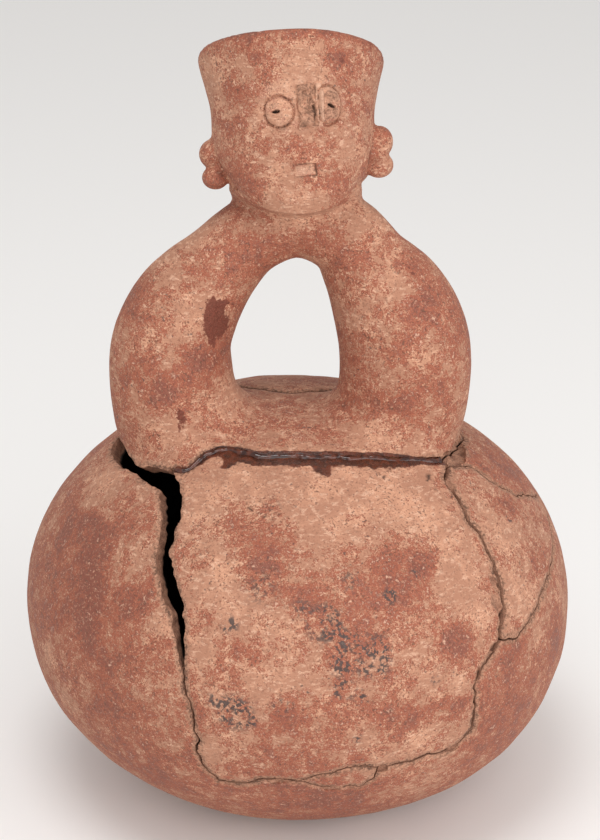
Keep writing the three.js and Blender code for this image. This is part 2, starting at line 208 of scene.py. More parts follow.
EYES = [
    {"azimuth": -10, "up": 0.67, "half_width": 4.2, "half_height": 4.4, "flat_side": -9.0,
     "slit": (-0.5, 0.0), "slit_turn": 4, "stained": 0.08},
    {"azimuth": 25, "up": 0.70, "half_width": 4.2, "half_height": 5.5, "flat_side": -2.9,
     "slit": (0.5, -0.3), "slit_turn": -28, "stained": 0.36},
]
EYE_PROUD = 1.5
EYE_GROOVE = 0.75
EYE_SLIT = {"half_width": 1.5, "half_height": 0.50, "depth": 1.4}
NOSE_SCAR = {"azimuth": 9.9, "up": 0.696, "half_width": 2.9, "half_height": 6.4, "roughness": 0.55}
NOSE_RIDGE = {"azimuth": 18.2, "up": 0.70, "half_width": 0.95, "half_height": 6.3, "proud": 1.1}
FACE_HOLLOW = {"azimuth": 6.5, "up": 0.705, "half_width": 14.5, "half_height": 9.0, "depth": 0.45}
MOUTH = {"azimuth": 7.5, "up": 0.425, "half_width": 3.4, "half_height": 1.85, "depth": 0.55}
MOUTH_LINE = 0.35
JAW_LIFT = 9.0
JAW_REACH = math.radians(100)
JAW_FOLD = {"up": 0.215, "half_height": 0.65, "depth": 1.2, "lip": 0.6, "reach": math.radians(80)}

# The broken joint of the left leg shows as a fine dark seam round its foot, in azimuth and elevation
LEG_SEAM = [[-115, 37], [-100, 43.5], [-90, 47], [-79, 49], [-71, 51], [-65, 53], [-60, 54.5], [-53, 56]]

ring_knots = SPOUT_RINGS[:, 0]
rings = smooth_line(SPOUT_RINGS, ring_knots, SPOUT_STEPS)
ring_middles = np.column_stack([
    HEAD_SHIFT * rings[:, 0],
    crown[1] + rings[:, 1] * SPOUT_BACK,
    crown[2] + rings[:, 0] * SPOUT_RISE,
])
ring_tilts = rings[:, 2] * RIM_TILT
ring_axes = np.column_stack([np.zeros(SPOUT_STEPS), np.sin(ring_tilts), np.cos(ring_tilts)])
ring_halves = rings[:, 3:5] * HEAD_RADIUS
rim_middle = np.array([HEAD_SHIFT, crown[1] + SPOUT_BACK, crown[2] + SPOUT_RISE])
rim_axis = np.array([0.0, math.sin(RIM_TILT), math.cos(RIM_TILT)])


def jaw_bend(side_angle, up):
    """Millimetres that the jaw's line rises from the chin towards the ears, at angles from the front."""
    rise = JAW_LIFT * (1 - np.cos(side_angle)) * np.clip((JAW_REACH - np.abs(side_angle)) / 0.7, 0, 1)
    return rise * np.clip((0.55 - up) / 0.2, 0, 1)


def head_place(points):
    """Where points are on the head: share of its height, across, forward, half sizes, and above its root."""
    above = points @ ring_axes.T - (ring_middles * ring_axes).sum(1)
    low = np.clip((above > 0).sum(1) - 1, 0, SPOUT_STEPS - 2)
    rows = np.arange(len(points))
    here, there = above[rows, low], above[rows, low + 1]
    share = np.clip(here / np.maximum(here - there, 1e-6), 0, 1)[:, None]
    middle = ring_middles[low] * (1 - share) + ring_middles[low + 1] * share
    tilt = (ring_tilts[low] * (1 - share[:, 0]) + ring_tilts[low + 1] * share[:, 0])
    halves = ring_halves[low] * (1 - share) + ring_halves[low + 1] * share
    up = rings[low, 0] * (1 - share[:, 0]) + rings[low + 1, 0] * share[:, 0]
    offset = points - middle
    forward = -np.cos(tilt) * offset[:, 1] + np.sin(tilt) * offset[:, 2]
    bend = jaw_bend(np.arctan2(offset[:, 0], forward), up)
    bent = bend > 0.01
    lower = np.maximum(up[bent] - bend[bent] / SPOUT_RISE, 0)
    halves[bent] = np.column_stack([np.interp(lower, rings[:, 0], column) for column in ring_halves.T])
    return up, offset[:, 0], forward, halves, above[:, 0]


def head_spot(side_angle, up, lift=0.0):
    """A point of the head's skin: angle from the front in radians, and share of the head's height."""
    values = [np.interp(up, rings[:, 0], column) for column in (*ring_middles.T, ring_tilts, *ring_halves.T)]
    middle, tilt, (wide, deep) = np.array(values[:3]), values[3], values[4:]
    forward = (deep + lift) * math.cos(side_angle)
    front = np.array([0.0, -math.cos(tilt), math.sin(tilt)])
    return middle + forward * front + np.array([(wide + lift) * math.sin(side_angle), 0, 0])


def lump_distance(points, middle, half_size):
    """How far points lie outside a pinched lump of clay."""
    scaled = (points - middle) / half_size
    out = np.linalg.norm(scaled, axis=1)
    return out * (out - 1) / np.maximum(np.linalg.norm(scaled / half_size, axis=1), 1e-6)


def head_distance(points):
    """How far points lie outside the head-shaped cup, with its ears."""
    up, across, forward, halves, above = head_place(points)
    scaled = np.column_stack([across, forward]) / halves
    out = np.linalg.norm(scaled, axis=1)
    slope = np.linalg.norm(scaled / halves, axis=1) / np.maximum(out, 1e-6)
    head = np.maximum((out - 1) / np.maximum(slope, 1e-6), -above)
    for lobe in EAR_LOBES:
        middle = head_spot(lobe["side"] * math.pi / 2 * (1 - lobe["round"]), lobe["up"], lobe["proud"])
        head = joined(head, lump_distance(points, middle, np.array(lobe["half_size"])), EAR_FILLET)
    return head


# How long the skin of the face is from the neck's root up to each ring
front_line = np.array([head_spot(0.0, up) for up in rings[:, 0]])
front_length = np.concatenate([[0], np.cumsum(np.linalg.norm(np.diff(front_line, axis=0), axis=1))])


def edge_falloff(inside, soft):
    """1 well inside an outline, 0 well outside it, over a width of soft."""
    return np.clip(0.5 + inside / soft, 0, 1)


def on_face(across, upward, feature):
    """Millimetres right and up from the middle of a feature of the face, turned with the face."""
    right = across - math.radians(feature["azimuth"]) * FACE_RADIUS
    rise = upward - np.interp(feature["up"], rings[:, 0], front_length)
    return (right * math.cos(FACE_ROLL) + rise * math.sin(FACE_ROLL),
            rise * math.cos(FACE_ROLL) - right * math.sin(FACE_ROLL))


# The wall
# Body, stirrup and head are one vessel with one wall, uneven from the hand that scraped it. It is taken
# as one closed skin, outside and inside, before it breaks.
STEP = 1.55               # width of a facet of the plain wall
SPACE_LOW = np.array([-92.4, -93.8, -4.2])
SPACE_HIGH = np.array([95.2, 93.8, 252.0])
# Rounds that halve the facets: near a crack, and on the head between limits up, across and forward
FINER_ROUNDS = [
    {"from_crack": 2.6, "up": (0.10, 0.95), "across": (-40, 40), "forward": -8},
    {"from_crack": 1.2, "up": (0.13, 0.95), "across": (-40, 40), "forward": 6},
    {"from_crack": 0.0, "up": (0.56, 0.84), "across": (-10, 17), "forward": 14},
]
DENTS = [(30.0, 0.42, 3), (9.0, 0.16, 5), (3.6, 0.06, 7)]      # size, depth and seed of the unevenness
# Flakes lost beside the cracks: azimuth, elevation, half length, half width, turn in degrees, and depth
LOST_FLAKES = [
    (76, 46.6, 9.0, 3.8, 12, 1.9), (67.5, 47.0, 3.6, 2.4, -30, 1.5), (47.0, 15.0, 5.0, 1.9, 105, 1.3),
    (48.2, 19.6, 3.6, 1.5, 100, 1.1), (17.6, -13.8, 1.7, 1.5, 0, 2.2), (43.4, 7.3, 3.6, 1.3, 22, 1.8),
    (38.4, 3.0, 2.6, 1.1, 80, 1.6), (-3.5, -16.2, 3.4, 0.9, 4, 1.2), (33, -12.8, 3.2, 1.1, 10, 1.2),
    (55.5, 42.0, 2.6, 1.3, 60, 1.6), (8, -18.9, 3.0, 0.9, -4, 1.2),
]


def clay_noise(points, size, seed):
    """Smooth seeded unevenness between -1 and 1, with lumps about size across."""
    values = np.random.default_rng(seed).uniform(-1, 1, 4096)
    place = points / size + 100.5
    corner = np.floor(place).astype(np.int64)
    part = place - corner
    part = part * part * (3 - 2 * part)
    total = np.zeros(len(points))
    for bits in range(8):
        side = np.array([bits & 1, bits >> 1 & 1, bits >> 2 & 1])
        node = corner + side
        mixed = (node[:, 0] * 73856093) ^ (node[:, 1] * 19349663) ^ (node[:, 2] * 83492791)
        weight = np.where(side, part, 1 - part).prod(1)
        total += weight * values[mixed & 4095]
    return total


def direction(angles):
    """Unit directions for rows of azimuth and elevation in degrees."""
    azimuth, elevation = np.radians(np.asarray(angles, float)).T
    flat = np.cos(elevation)
    return np.column_stack([flat * np.sin(azimuth), -flat * np.cos(azimuth), np.sin(elevation)])


def on_body(aims, proud=0.0):
    """Points on the way out along unit directions, proud of the body's plain skin."""
    reach = body_reach(np.arcsin(np.clip(aims[:, 2], -1, 1)))
    turn = np.arccos(np.clip(aims @ SWELL_AIM, -1, 1))
    reach = reach + SWELL * np.exp(-((turn / SWELL_SPREAD) ** 2)) + proud
    return BODY_MIDDLE + aims * reach[:, None]


def nearest(points, line_points):
    """Distance from each point to the nearest of a line's points."""
    tree = KDTree(len(line_points))
    for number, place in enumerate(line_points):
        tree.insert(place, number)
    tree.balance()
    return np.array([tree.find(place)[2] for place in points])


def form_distance(points):
    """How far points lie outside the plain form of the whole vessel."""
    form = body_distance(points)
    x, y, z = points.T
    half_width, half_depth, lowest = STIRRUP_REGION
    near = (np.abs(x) < half_width) & (np.abs(y) < half_depth) & (z > lowest)
    outward = np.clip((np.abs(x[near]) - 38) / 14, 0, 1)
    behind = np.clip((y[near] - 2) / 12, 0, 1)
    fillet = FILLET_INNER + (FILLET_OUTER - FILLET_INNER) * np.maximum(outward, 0.5 * behind)
    form[near] = joined(form[near], stirrup_distance(points[near]), fillet)
    half_width, front, back, lowest = SPOUT_REGION
    near = (np.abs(x) < half_width) & (y > front) & (y < back) & (z > lowest)
    form[near] = joined(form[near], head_distance(points[near]), NECK_FILLET)
    return form


def face_marks(points):
    """Relief of the face in millimetres, painted shade in its grooves, slits, pits and creases, and where it
    is pale or raw.
    """
    relief, painted_shade_and_dark_lines, pale, raw = np.zeros((4, len(points)))
    near = (np.abs(points[:, 0]) < 36) & (points[:, 1] < 26) & (points[:, 2] > HEAD_ABOVE)
    if not near.any():
        return relief, painted_shade_and_dark_lines, pale, raw
    some = points[near]
    up, across, forward, _, _ = head_place(some)
    angle = np.arctan2(across, forward)
    across, upward = angle * FACE_RADIUS, np.interp(up, rings[:, 0], front_length)
    wobble = clay_noise(some, 2.2, 21)
    # line gathers painted shade in the face's grooves, slits, pits and creases
    out, line, light, scar = np.zeros((4, len(some)))

    right, rise = on_face(across, upward, FACE_HOLLOW)
    oval = 1 - np.hypot(right / FACE_HOLLOW["half_width"], rise / FACE_HOLLOW["half_height"])
    hollow = np.clip(oval * 5 + 0.5, 0, 1)
    out -= FACE_HOLLOW["depth"] * hollow
    light += 0.35 * hollow

    right, rise = on_face(across, upward, NOSE_SCAR)
    scarred = (edge_falloff(NOSE_SCAR["half_width"] - np.abs(right) + 0.5 * wobble, 0.7)
               * edge_falloff(NOSE_SCAR["half_height"] - np.abs(rise) + 0.5 * wobble, 0.7))
    rough = NOSE_SCAR["roughness"] * (clay_noise(some, 1.9, 22) + 0.7 * clay_noise(some, 0.9, 23))
    tear = np.exp(-((right - 1.3 - 1.1 * clay_noise(some, 3.4, 24)) / 0.36) ** 2)
    tear *= np.clip(1.3 - np.abs(rise + 1.0) / 4.6, 0, 1)
    out += scarred * (0.9 + 1.4 * rough - 1.2 * tear)
    upper = np.exp(-(((rise - 4.6) / 1.5) ** 2))
    upper = upper + 0.8 * np.exp(-(((right - 0.8) / 1.2) ** 2 + ((rise + 1.5) / 3.2) ** 2))
    scar += scarred * (0.32 + 0.42 * upper + 0.35 * clay_noise(some, 1.6, 25))
    # Painted shade in the scar's crevice and under its lower edge
    line += scarred * (0.9 * tear + 0.45 * np.exp(-(((rise + 6.0) / 0.5) ** 2)))
    light -= 0.5 * scarred

    right, rise = on_face(across, upward, NOSE_RIDGE)
    ridge = (edge_falloff(NOSE_RIDGE["half_width"] - np.abs(right + 0.2 * wobble), 0.6)
             * edge_falloff(NOSE_RIDGE["half_height"] - np.abs(rise), 0.8))
    out += NOSE_RIDGE["proud"] * ridge
    light += 0.7 * ridge
    scar *= 1 - ridge

    for eye in EYES:
        right, rise = on_face(across, upward, eye)
        away = np.hypot(right / eye["half_width"], rise / eye["half_height"]) + 0.05 * wobble
        away = np.maximum(away, 1 + (eye["flat_side"] - right) / eye["half_width"])
        groove = np.exp(-(((away - 1.06) * eye["half_width"] / 0.36) ** 2))
        out += EYE_PROUD * np.sqrt(np.clip(1 - away ** 6, 0, 1)) + 0.35 * np.clip(1 - away ** 2, 0, 1)
        out -= EYE_GROOVE * groove
        # Painted shade in the groove round the eye
        line += groove * (0.34 + 0.50 * wobble)
        scar += eye["stained"] * np.clip(3 - 3 * away, 0, 1) * (1 + 1.2 * clay_noise(some, 1.5, 26))
        turn = math.radians(eye["slit_turn"])
        right, rise = right - eye["slit"][0], rise - eye["slit"][1]
        along = (right * math.cos(turn) + rise * math.sin(turn)) / EYE_SLIT["half_width"]
        beside = (rise * math.cos(turn) - right * math.sin(turn)) / EYE_SLIT["half_height"]
        slit = np.clip((1 - along ** 2 - beside ** 2) * 1.6, 0, 1)
        out -= EYE_SLIT["depth"] * slit
        # Painted shade in the slit
        line += 1.3 * slit

    right, rise = on_face(across, upward, MOUTH)
    inside = np.minimum(MOUTH["half_width"] - np.abs(right), MOUTH["half_height"] - np.abs(rise))
    inside = inside + 0.22 * wobble
    mouth = edge_falloff(inside, 0.35)
    rim = np.exp(-((inside / MOUTH_LINE) ** 2))
    out -= MOUTH["depth"] * mouth - 0.25 * rim
    # Painted shade along the mouth's edge
    line += rim * (0.55 + 0.35 * wobble)
    light += 0.5 * mouth * (1 - rim)

    beside = np.clip((JAW_FOLD["reach"] - np.abs(angle)) / 0.4, 0, 1)
    rise = upward - np.interp(JAW_FOLD["up"], rings[:, 0], front_length) - jaw_bend(angle, up) + 0.35 * wobble
    fold = beside * np.exp(-((rise / JAW_FOLD["half_height"]) ** 2))
    out += JAW_FOLD["lip"] * beside * np.exp(-(((rise - 1.8) / 0.9) ** 2)) - JAW_FOLD["depth"] * fold
    # Painted shadow in the fold under the jaw's ledge
    line += fold * (0.45 + 0.3 * wobble)

    for pit in EAR_PITS:
        pit_angle = pit["side"] * math.pi / 2 * (1 - pit["round"])
        beside = (angle - pit_angle) * FACE_RADIUS / EAR_PIT["half_width"]
        rise = (up - pit["up"]) * SPOUT_RISE / EAR_PIT["half_height"]
        hole = np.exp(-(beside ** 2 + rise ** 2))
        out -= EAR_PIT["depth"] * hole
        # Painted shade in the ear's pit
        line += 0.35 * hole
    relief[near], painted_shade_and_dark_lines[near], pale[near], raw[near] = out, line, light, scar
    return relief, np.clip(painted_shade_and_dark_lines, 0, 1), np.clip(pale, 0, 1), raw


def outer_skin(points, form):
    """How far points lie outside the finished outside of the vessel."""
    skin = form - face_marks(points)[0]
    for size, depth, seed in DENTS:
        skin = skin - depth * clay_noise(points, size, seed)
    return trimmed(skin, -points[:, 2], FOOT_ROUND)


def flake_distance(points):
    """How far points lie outside the flakes that the lips of the cracks have lost."""
    out = np.full(len(points), 9.0)
    for azimuth, elevation, half_length, half_width, turn, depth in LOST_FLAKES:
        aim = direction([[azimuth, elevation]])[0]
        middle = on_body(aim[None])[0]
        near = np.linalg.norm(points - middle, axis=1) < half_length + 4
        side, bend = math.radians(azimuth), math.radians(turn)
        east = np.array([math.cos(side), math.sin(side), 0.0])
        along = math.cos(bend) * east + math.sin(bend) * np.cross(aim, east)
        offset = points[near] - middle
        local = np.column_stack([offset @ along, offset @ np.cross(aim, along), offset @ aim])
        rough = 0.5 * clay_noise(points[near], 3.1, 41) + 0.35 * clay_noise(points[near], 1.3, 42)
        scoop = lump_distance(local, np.zeros(3), np.array([half_length, half_width, depth])) + rough
        out[near] = np.minimum(out[near], scoop)
    return out


def wall_distance(points):
    """How far points lie outside the clay of the wall, less than nothing inside it."""
    form = form_distance(points)
    hollow = np.maximum(form + WALL, FLOOR - points[:, 2])
    wall = np.maximum(outer_skin(points, form), -hollow)
    wall = np.maximum(wall, -flake_distance(points))
    lip = (points - rim_middle) @ rim_axis - LIP_RISE - 0.5 * clay_noise(points, 16.0, 11)
    return trimmed(wall, lip, LIP_ROUND)


def skin_over(values, low, step):
    """Points and four-sided faces that enclose the space where values are below nothing."""
    inside = values < 0
    cells = np.array(values.shape) - 1
    total = np.zeros((cells.prod(), 3))
    count = np.zeros(cells.prod())
    faces = []
    for axis in range(3):
        unit = np.eye(3, dtype=int)[axis]
        here = tuple(slice(0, n - u) for n, u in zip(values.shape, unit))
        there = tuple(slice(u, n) for n, u in zip(values.shape, unit))
        edges = np.argwhere(inside[here] != inside[there])
        start, end = values[tuple(edges.T)], values[tuple((edges + unit).T)]
        crossing = edges + unit * (start / (start - end))[:, None]
        second, third = (axis + 1) % 3, (axis + 2) % 3
        around = []
        for back_second, back_third in ((0, 0), (1, 0), (1, 1), (0, 1)):
            cell = edges.copy()
            cell[:, second] -= back_second
            cell[:, third] -= back_third
            flat = np.ravel_multi_index(cell.T, cells)
            around.append(flat)
            count += np.bincount(flat, minlength=len(count))
            for column in range(3):
                total[:, column] += np.bincount(flat, crossing[:, column], minlength=len(count))
        quads = np.stack(around, 1)
        quads[start > 0] = quads[start > 0][:, ::-1]
        faces.append(quads)
    used = count > 0
    number = np.cumsum(used) - 1
    return total[used] / count[used][:, None] * step + low, number[np.concatenate(faces)]


def settled(points, distance, rounds, furthest):
    """Points moved onto the surface where a distance is nothing, furthest at most in each round."""
    reach = 0.15
    for _ in range(rounds):
        here = distance(points)
        slope = np.column_stack([
            distance(points + reach * axis) - distance(points - reach * axis) for axis in np.eye(3)
        ]) / (2 * reach)
        shift = here / np.maximum((slope ** 2).sum(1), 0.2)
        points = points - np.clip(shift, -furthest, furthest)[:, None] * slope
    return points


def refined(points, triangles, wanted):
    """The same skin with the wanted triangles, and what they touch, cut into smaller ones."""
    edges = np.sort(triangles[:, [[0, 1], [1, 2], [2, 0]]].reshape(-1, 2), axis=1)
    edges, number = np.unique(edges, axis=0, return_inverse=True)
    number = number.reshape(-1, 3)
    cut = np.zeros(len(edges), bool)
    cut[number[wanted].ravel()] = True
    middle = np.full(len(edges), -1)
    middle[cut] = len(points) + np.arange(cut.sum())
    points = np.concatenate([points, points[edges[cut]].mean(1)])
    halves = middle[number]
    state = (halves >= 0) @ np.array([1, 2, 4])
    turned = {1: 0, 2: 1, 4: 2, 3: 0, 6: 1, 5: 2}
    result = [triangles[state == 0]]
    for code, shift in turned.items():
        a, b, c = np.roll(triangles[state == code], -shift, axis=1).T
        first, second, _ = np.roll(halves[state == code], -shift, axis=1).T
        if code in (1, 2, 4):
            result += [np.stack(corners, 1) for corners in ((a, first, c), (first, b, c))]
        else:
            result += [np.stack(corners, 1) for corners in
                       ((first, b, second), (a, first, second), (a, second, c))]
    a, b, c = triangles[state == 7].T
    first, second, third = halves[state == 7].T
    result += [np.stack(corners, 1) for corners in
               ((a, first, third), (first, b, second), (third, second, c), (first, second, third))]
    return points, np.concatenate(result)


# Breaks
# The wall cracked right through into sherds. The cracks are ragged and of uneven width, and on the left
# a wedge of wall is lost, so there the inside shows, painted dark as shade.
CRACK_WIDTH = 0.8
HAIR_WIDTH = 0.55
RIGHT_CRACK_WIDTH = 1.5
RESIN_CRACK_WIDTH = 1.8
CRACKED_BELOW = 150.0      # height under which the cracks run
CRACK_STEP = 0.9
CRACK_INSIDE = 11.0
CRACK_OUTSIDE = 6.0
CRACK_OVERRUN = 1.0
FRACTURE_LAYERS = [-CRACK_INSIDE, -6.5, -4.6, -3.0, -1.5, 0.3, CRACK_OUTSIDE]
RAGGED = [(9.0, 1.5), (3.4, 1.0), (1.4, 0.55)]      # length and swing of a crack's bends
LAYER_SWING = 0.4
GAP_LAYER_SWING = 0.8
GAP_UNDERCUT = 0.20
LIP_WEAR = 0.5
LIP_WEAR_WIDTH = 1.0

# The open gap: azimuth and elevation of the body's lip, then of the sherd's edge opposite
LEFT_GAP = np.array([
    [-98, 40.5, -96, 42.5],
    [-90, 39.5, -86, 43.5],
    [-81, 40, -74, 44.2],
    [-71, 41, -65, 45.2],
    [-62, 42.5, -60, 46.5],
    [-55, 42.5, -56, 47.5],
    [-50, 42, -51, 48.5],
    [-44, 40, -42, 45],
    [-41, 38, -37, 41],
    [-38, 33, -34, 35.5],
    [-36, 30, -32, 30],
    [-32.6, 24, -28.4, 25.5],
    [-29.8, 20, -25.4, 21],
    [-26.4, 15, -23.6, 16],
    [-24.5, 11, -23.0, 11.5],
    [-23.3, 8, -22.7, 8],
])
LEFT_CRACK = [[-23, 9], [-22, 3], [-21, -1], [-20, -7], [-19.5, -12.5], [-16.5, -17.4], [-11, -17.2],
              [-7, -16], [-0.7, -15.9]]
CHIP_TOP = [[-0.7, -15.9], [5.3, -13.7], [8.4, -12.6], [13.7, -12.5], [17.5, -13.6]]
CHIP_BOTTOM = [[-0.7, -15.9], [5.9, -18.4], [13.4, -19], [16.8, -16.6], [17.5, -13.6]]
LOWER_RIGHT_CRACK = [[17.5, -13.6], [24, -13.5], [32.6, -13], [36.6, -11.4], [38.4, -9.4], [37.6, -2],
                     [38.5, 2], [40.7, 6.4], [45.7, 8.2]]
RIGHT_CRACK = [[45.7, 8.2], [49, 13.5], [49.6, 18], [50.6, 26], [51, 33], [54, 38], [56, 43], [63, 45.5],
               [64.3, 47.5]]
OUTER_CRACK = [[45.7, 8.2], [50.6, 7], [57.7, 9], [67.8, 12.4], [79, 14.8], [92, 17.5], [95.5, 20.5],
               [79, 29], [73.5, 35], [72.5, 41], [67, 44], [63, 45.5]]
RESIN_CRACK = [[-51.5, 48.5], [-46, 50.5], [-44.5, 54], [-44.5, 56.5], [-41, 59.6], [-20, 59.8],
               [5, 60.6], [27, 58.5], [45, 54], [56, 50], [64.3, 47.5]]
BACK_CRACK = [[64.3, 47.5], [78, 46.3], [91, 45], [101, 47], [112, 52], [122, 62], [127.5, 75.5],
              [142, 81], [-165, 84.6], [-136, 78.4], [-131, 68.5], [-125, 56], [-112, 47], [-97, 41.5]]


def wander(along, seed, bends=RAGGED):
    """Uneven sideways swing at distances along a crack."""
    swing = np.zeros(len(along))
    for number, (length, size) in enumerate(bends):
        spots = np.column_stack([along, np.full(len(along), 37.0 * seed), np.zeros(len(along))])
        swing += size * clay_noise(spots, length, 100 + number)
    return swing


def crack_path(angles, overrun):
    """Directions at even steps along a crack's bends, run on past its ends."""
    aims = direction(angles)
    stretch = overrun / BODY_RADIUS
    first = aims[0] + (aims[0] - aims[1]) / np.linalg.norm(aims[0] - aims[1]) * stretch
    last = aims[-1] + (aims[-1] - aims[-2]) / np.linalg.norm(aims[-1] - aims[-2]) * stretch
    aims = np.concatenate([[first], aims[1:-1], [last]])
    spots = on_body(aims / np.linalg.norm(aims, axis=1)[:, None])
    along = np.concatenate([[0], np.cumsum(np.linalg.norm(np.diff(spots, axis=0), axis=1))])
    steps = np.linspace(0, along[-1], max(int(along[-1] / CRACK_STEP), 4))
    path = np.column_stack([np.interp(steps, along, column) for column in aims.T])
    return path / np.linalg.norm(path, axis=1)[:, None], steps


def sideways(path):
    """Unit directions across a path of directions, to the left of the way it goes."""
    ahead = np.gradient(path, axis=0)
    across = np.cross(path, ahead)
    return across / np.linalg.norm(across, axis=1)[:, None]


def moved(path, across, shift):
    """Directions shifted across a path by millimetres at the skin."""
    aims = path + across * (shift / BODY_RADIUS)[:, None]
    return aims / np.linalg.norm(aims, axis=1)[:, None]


def crack_edges(angles, width, seed):
    """Directions of the two ragged lips of a crack."""
    path, along = crack_path(angles, CRACK_OVERRUN)
    across = sideways(path)
    taper = np.clip(np.minimum(along, along[-1] - along) / 3.0, 0, 1)
    swing = wander(along, seed) * taper
    half = width / 2 * (1 + 0.45 * wander(along, seed + 50, [(5.0, 0.8), (1.6, 0.35)]))
    return moved(path, across, swing - half), moved(path, across, swing + half)


def gap_edges(seed):
    """Directions of the two lips of the open gap."""
    lip, _ = crack_path(LEFT_GAP[:, :2], 0.0)
    edge, _ = crack_path(LEFT_GAP[:, 2:], 0.0)
    count = len(lip)
    along = np.linspace(0, CRACK_STEP * count, count)
    even, own = np.linspace(0, 1, count), np.linspace(0, 1, len(edge))
    edge = np.column_stack([np.interp(even, own, column) for column in edge.T])
    across = sideways(lip)
    return moved(lip, across, wander(along, seed)), moved(edge, across, wander(along, seed + 1))


def ring_skin(rings):
    """Points and triangles of a closed form skinned over rings of points."""
    rows, sides = rings.shape[:2]
    points = np.concatenate([rings.reshape(-1, 3), rings[0].mean(0)[None], rings[-1].mean(0)[None]])
    row, side = np.meshgrid(np.arange(rows - 1), np.arange(sides), indexing="ij")
    here, beside = (row * sides + side).ravel(), (row * sides + (side + 1) % sides).ravel()
    turn = np.arange(sides)
    after = (turn + 1) % sides
    foot, head = rows * sides, rows * sides + 1
    last = (rows - 1) * sides
    triangles = np.concatenate([
        np.stack([here, beside, beside + sides], 1),
        np.stack([here, beside + sides, here + sides], 1),
        np.stack([np.full(sides, foot), after, turn], 1),
        np.stack([np.full(sides, head), last + turn, last + after], 1),
    ])
    return points, triangles


def break_through(edges, seed, layer_swing, undercut):
    """The closed blade that a crack takes out of the wall, with a ragged face on each side."""
    left, right = edges
    across = sideways((left + right) / 2)
    along = np.arange(len(left)) * CRACK_STEP
    sides = []
    for number, proud in enumerate(FRACTURE_LAYERS):
        swing = layer_swing * wander(along, seed + 7 * number, [(5.0, 0.8), (2.2, 0.6), (0.9, 0.3)])
        under = undercut * min(proud, 0)
        sides.append((on_body(moved(left, across, swing + under), proud),
                      on_body(moved(right, across, swing - under), proud)))
    rings = np.stack([side[0] for side in sides] + [side[1] for side in reversed(sides)], axis=1)
    points, triangles = ring_skin(rings)
    corners = points[triangles]
    volume = np.einsum("ij,ij->i", corners[:, 0], np.cross(corners[:, 1], corners[:, 2])).sum()
    return points, triangles if volume > 0 else triangles[:, ::-1]


crack_lips = {
    "left_gap": gap_edges(1),
    "left_crack": crack_edges(LEFT_CRACK, CRACK_WIDTH, 3),
    "chip_top": crack_edges(CHIP_TOP, HAIR_WIDTH, 4),
    "chip_bottom": crack_edges(CHIP_BOTTOM, HAIR_WIDTH, 5),
    "lower_right_crack": crack_edges(LOWER_RIGHT_CRACK, CRACK_WIDTH, 6),
    "right_crack": crack_edges(RIGHT_CRACK, RIGHT_CRACK_WIDTH, 7),
    "outer_crack": crack_edges(OUTER_CRACK, HAIR_WIDTH, 8),
    "resin_crack": crack_edges(RESIN_CRACK, RESIN_CRACK_WIDTH, 9),
    "back_crack": crack_edges(BACK_CRACK, CRACK_WIDTH, 10),
}
lip_points = np.concatenate([on_body(lip) for lips in crack_lips.values() for lip in lips])
seam_path, _ = crack_path(LEG_SEAM, 0.0)


def clay_mesh(name, points, triangles):
    """A Blender mesh object in metres from points in millimetres."""
    mesh = bpy.data.meshes.new(name)
    mesh.from_pydata((points * 0.001).tolist(), [], triangles.tolist())
    mesh.validate()
    piece = bpy.data.objects.new(name, mesh)
    bpy.context.scene.collection.objects.link(piece)
    return piece


axes = [np.arange(low, high + STEP, STEP) for low, high in zip(SPACE_LOW, SPACE_HIGH)]
grid = np.empty([len(axis) for axis in axes])
for layer, height in enumerate(axes[2]):
    x, y = np.meshgrid(axes[0], axes[1], indexing="ij")
    spots = np.column_stack([x.ravel(), y.ravel(), np.full(x.size, height)])
    form = form_distance(spots)
    close = np.abs(form + WALL / 2) < WALL / 2 + 3 * STEP
    level = np.where(form > -WALL / 2, form, -form - WALL)
    level[close] = wall_distance(spots[close])
    inside_floor = (height < FLOOR + 2 * STEP) & (form < 0)
    level[inside_floor] = wall_distance(spots[inside_floor])
    grid[:, :, layer] = level.reshape(x.shape)
wall_points, quads = skin_over(grid, SPACE_LOW, STEP)
wall_points = settled(wall_points, wall_distance, 2, 0.7)
wall_triangles = np.concatenate([quads[:, [0, 1, 2]], quads[:, [0, 2, 3]]])
for finer in FINER_ROUNDS:
    middles = wall_points[wall_triangles].mean(1)
    outside = form_distance(middles) > -1.8
    wanted = np.zeros(len(middles), bool)
    on_shoulders = outside & (middles[:, 2] < CRACKED_BELOW)
    wanted[on_shoulders] = nearest(middles[on_shoulders], lip_points) < finer["from_crack"]
    wanted |= outside & (flake_distance(middles) < 0.8)
    up, across, forward, _, above = head_place(middles)
    on_head = outside & (above > 0) & (middles[:, 2] > HEAD_ABOVE + 4) & (forward > finer["forward"])
    for spot, (low, high) in ((up, finer["up"]), (across, finer["across"])):
        on_head &= (spot > low) & (spot < high)
    wanted |= on_head
    before = len(wall_points)
    wall_points, wall_triangles = refined(wall_points, wall_triangles, wanted)
    wall_points[before:] = settled(wall_points[before:], wall_distance, 2, 0.5)
near_lips = np.abs(form_distance(wall_points)) < 1.5
inward = wall_points[near_lips] - BODY_MIDDLE
inward /= np.linalg.norm(inward, axis=1)[:, None]
lip_distance = nearest(wall_points[near_lips], lip_points)
wall_points[near_lips] -= inward * (LIP_WEAR * np.exp(-((lip_distance / LIP_WEAR_WIDTH) ** 2)))[:, None]
whole_vessel = clay_mesh("whole_vessel", wall_points, wall_triangles)

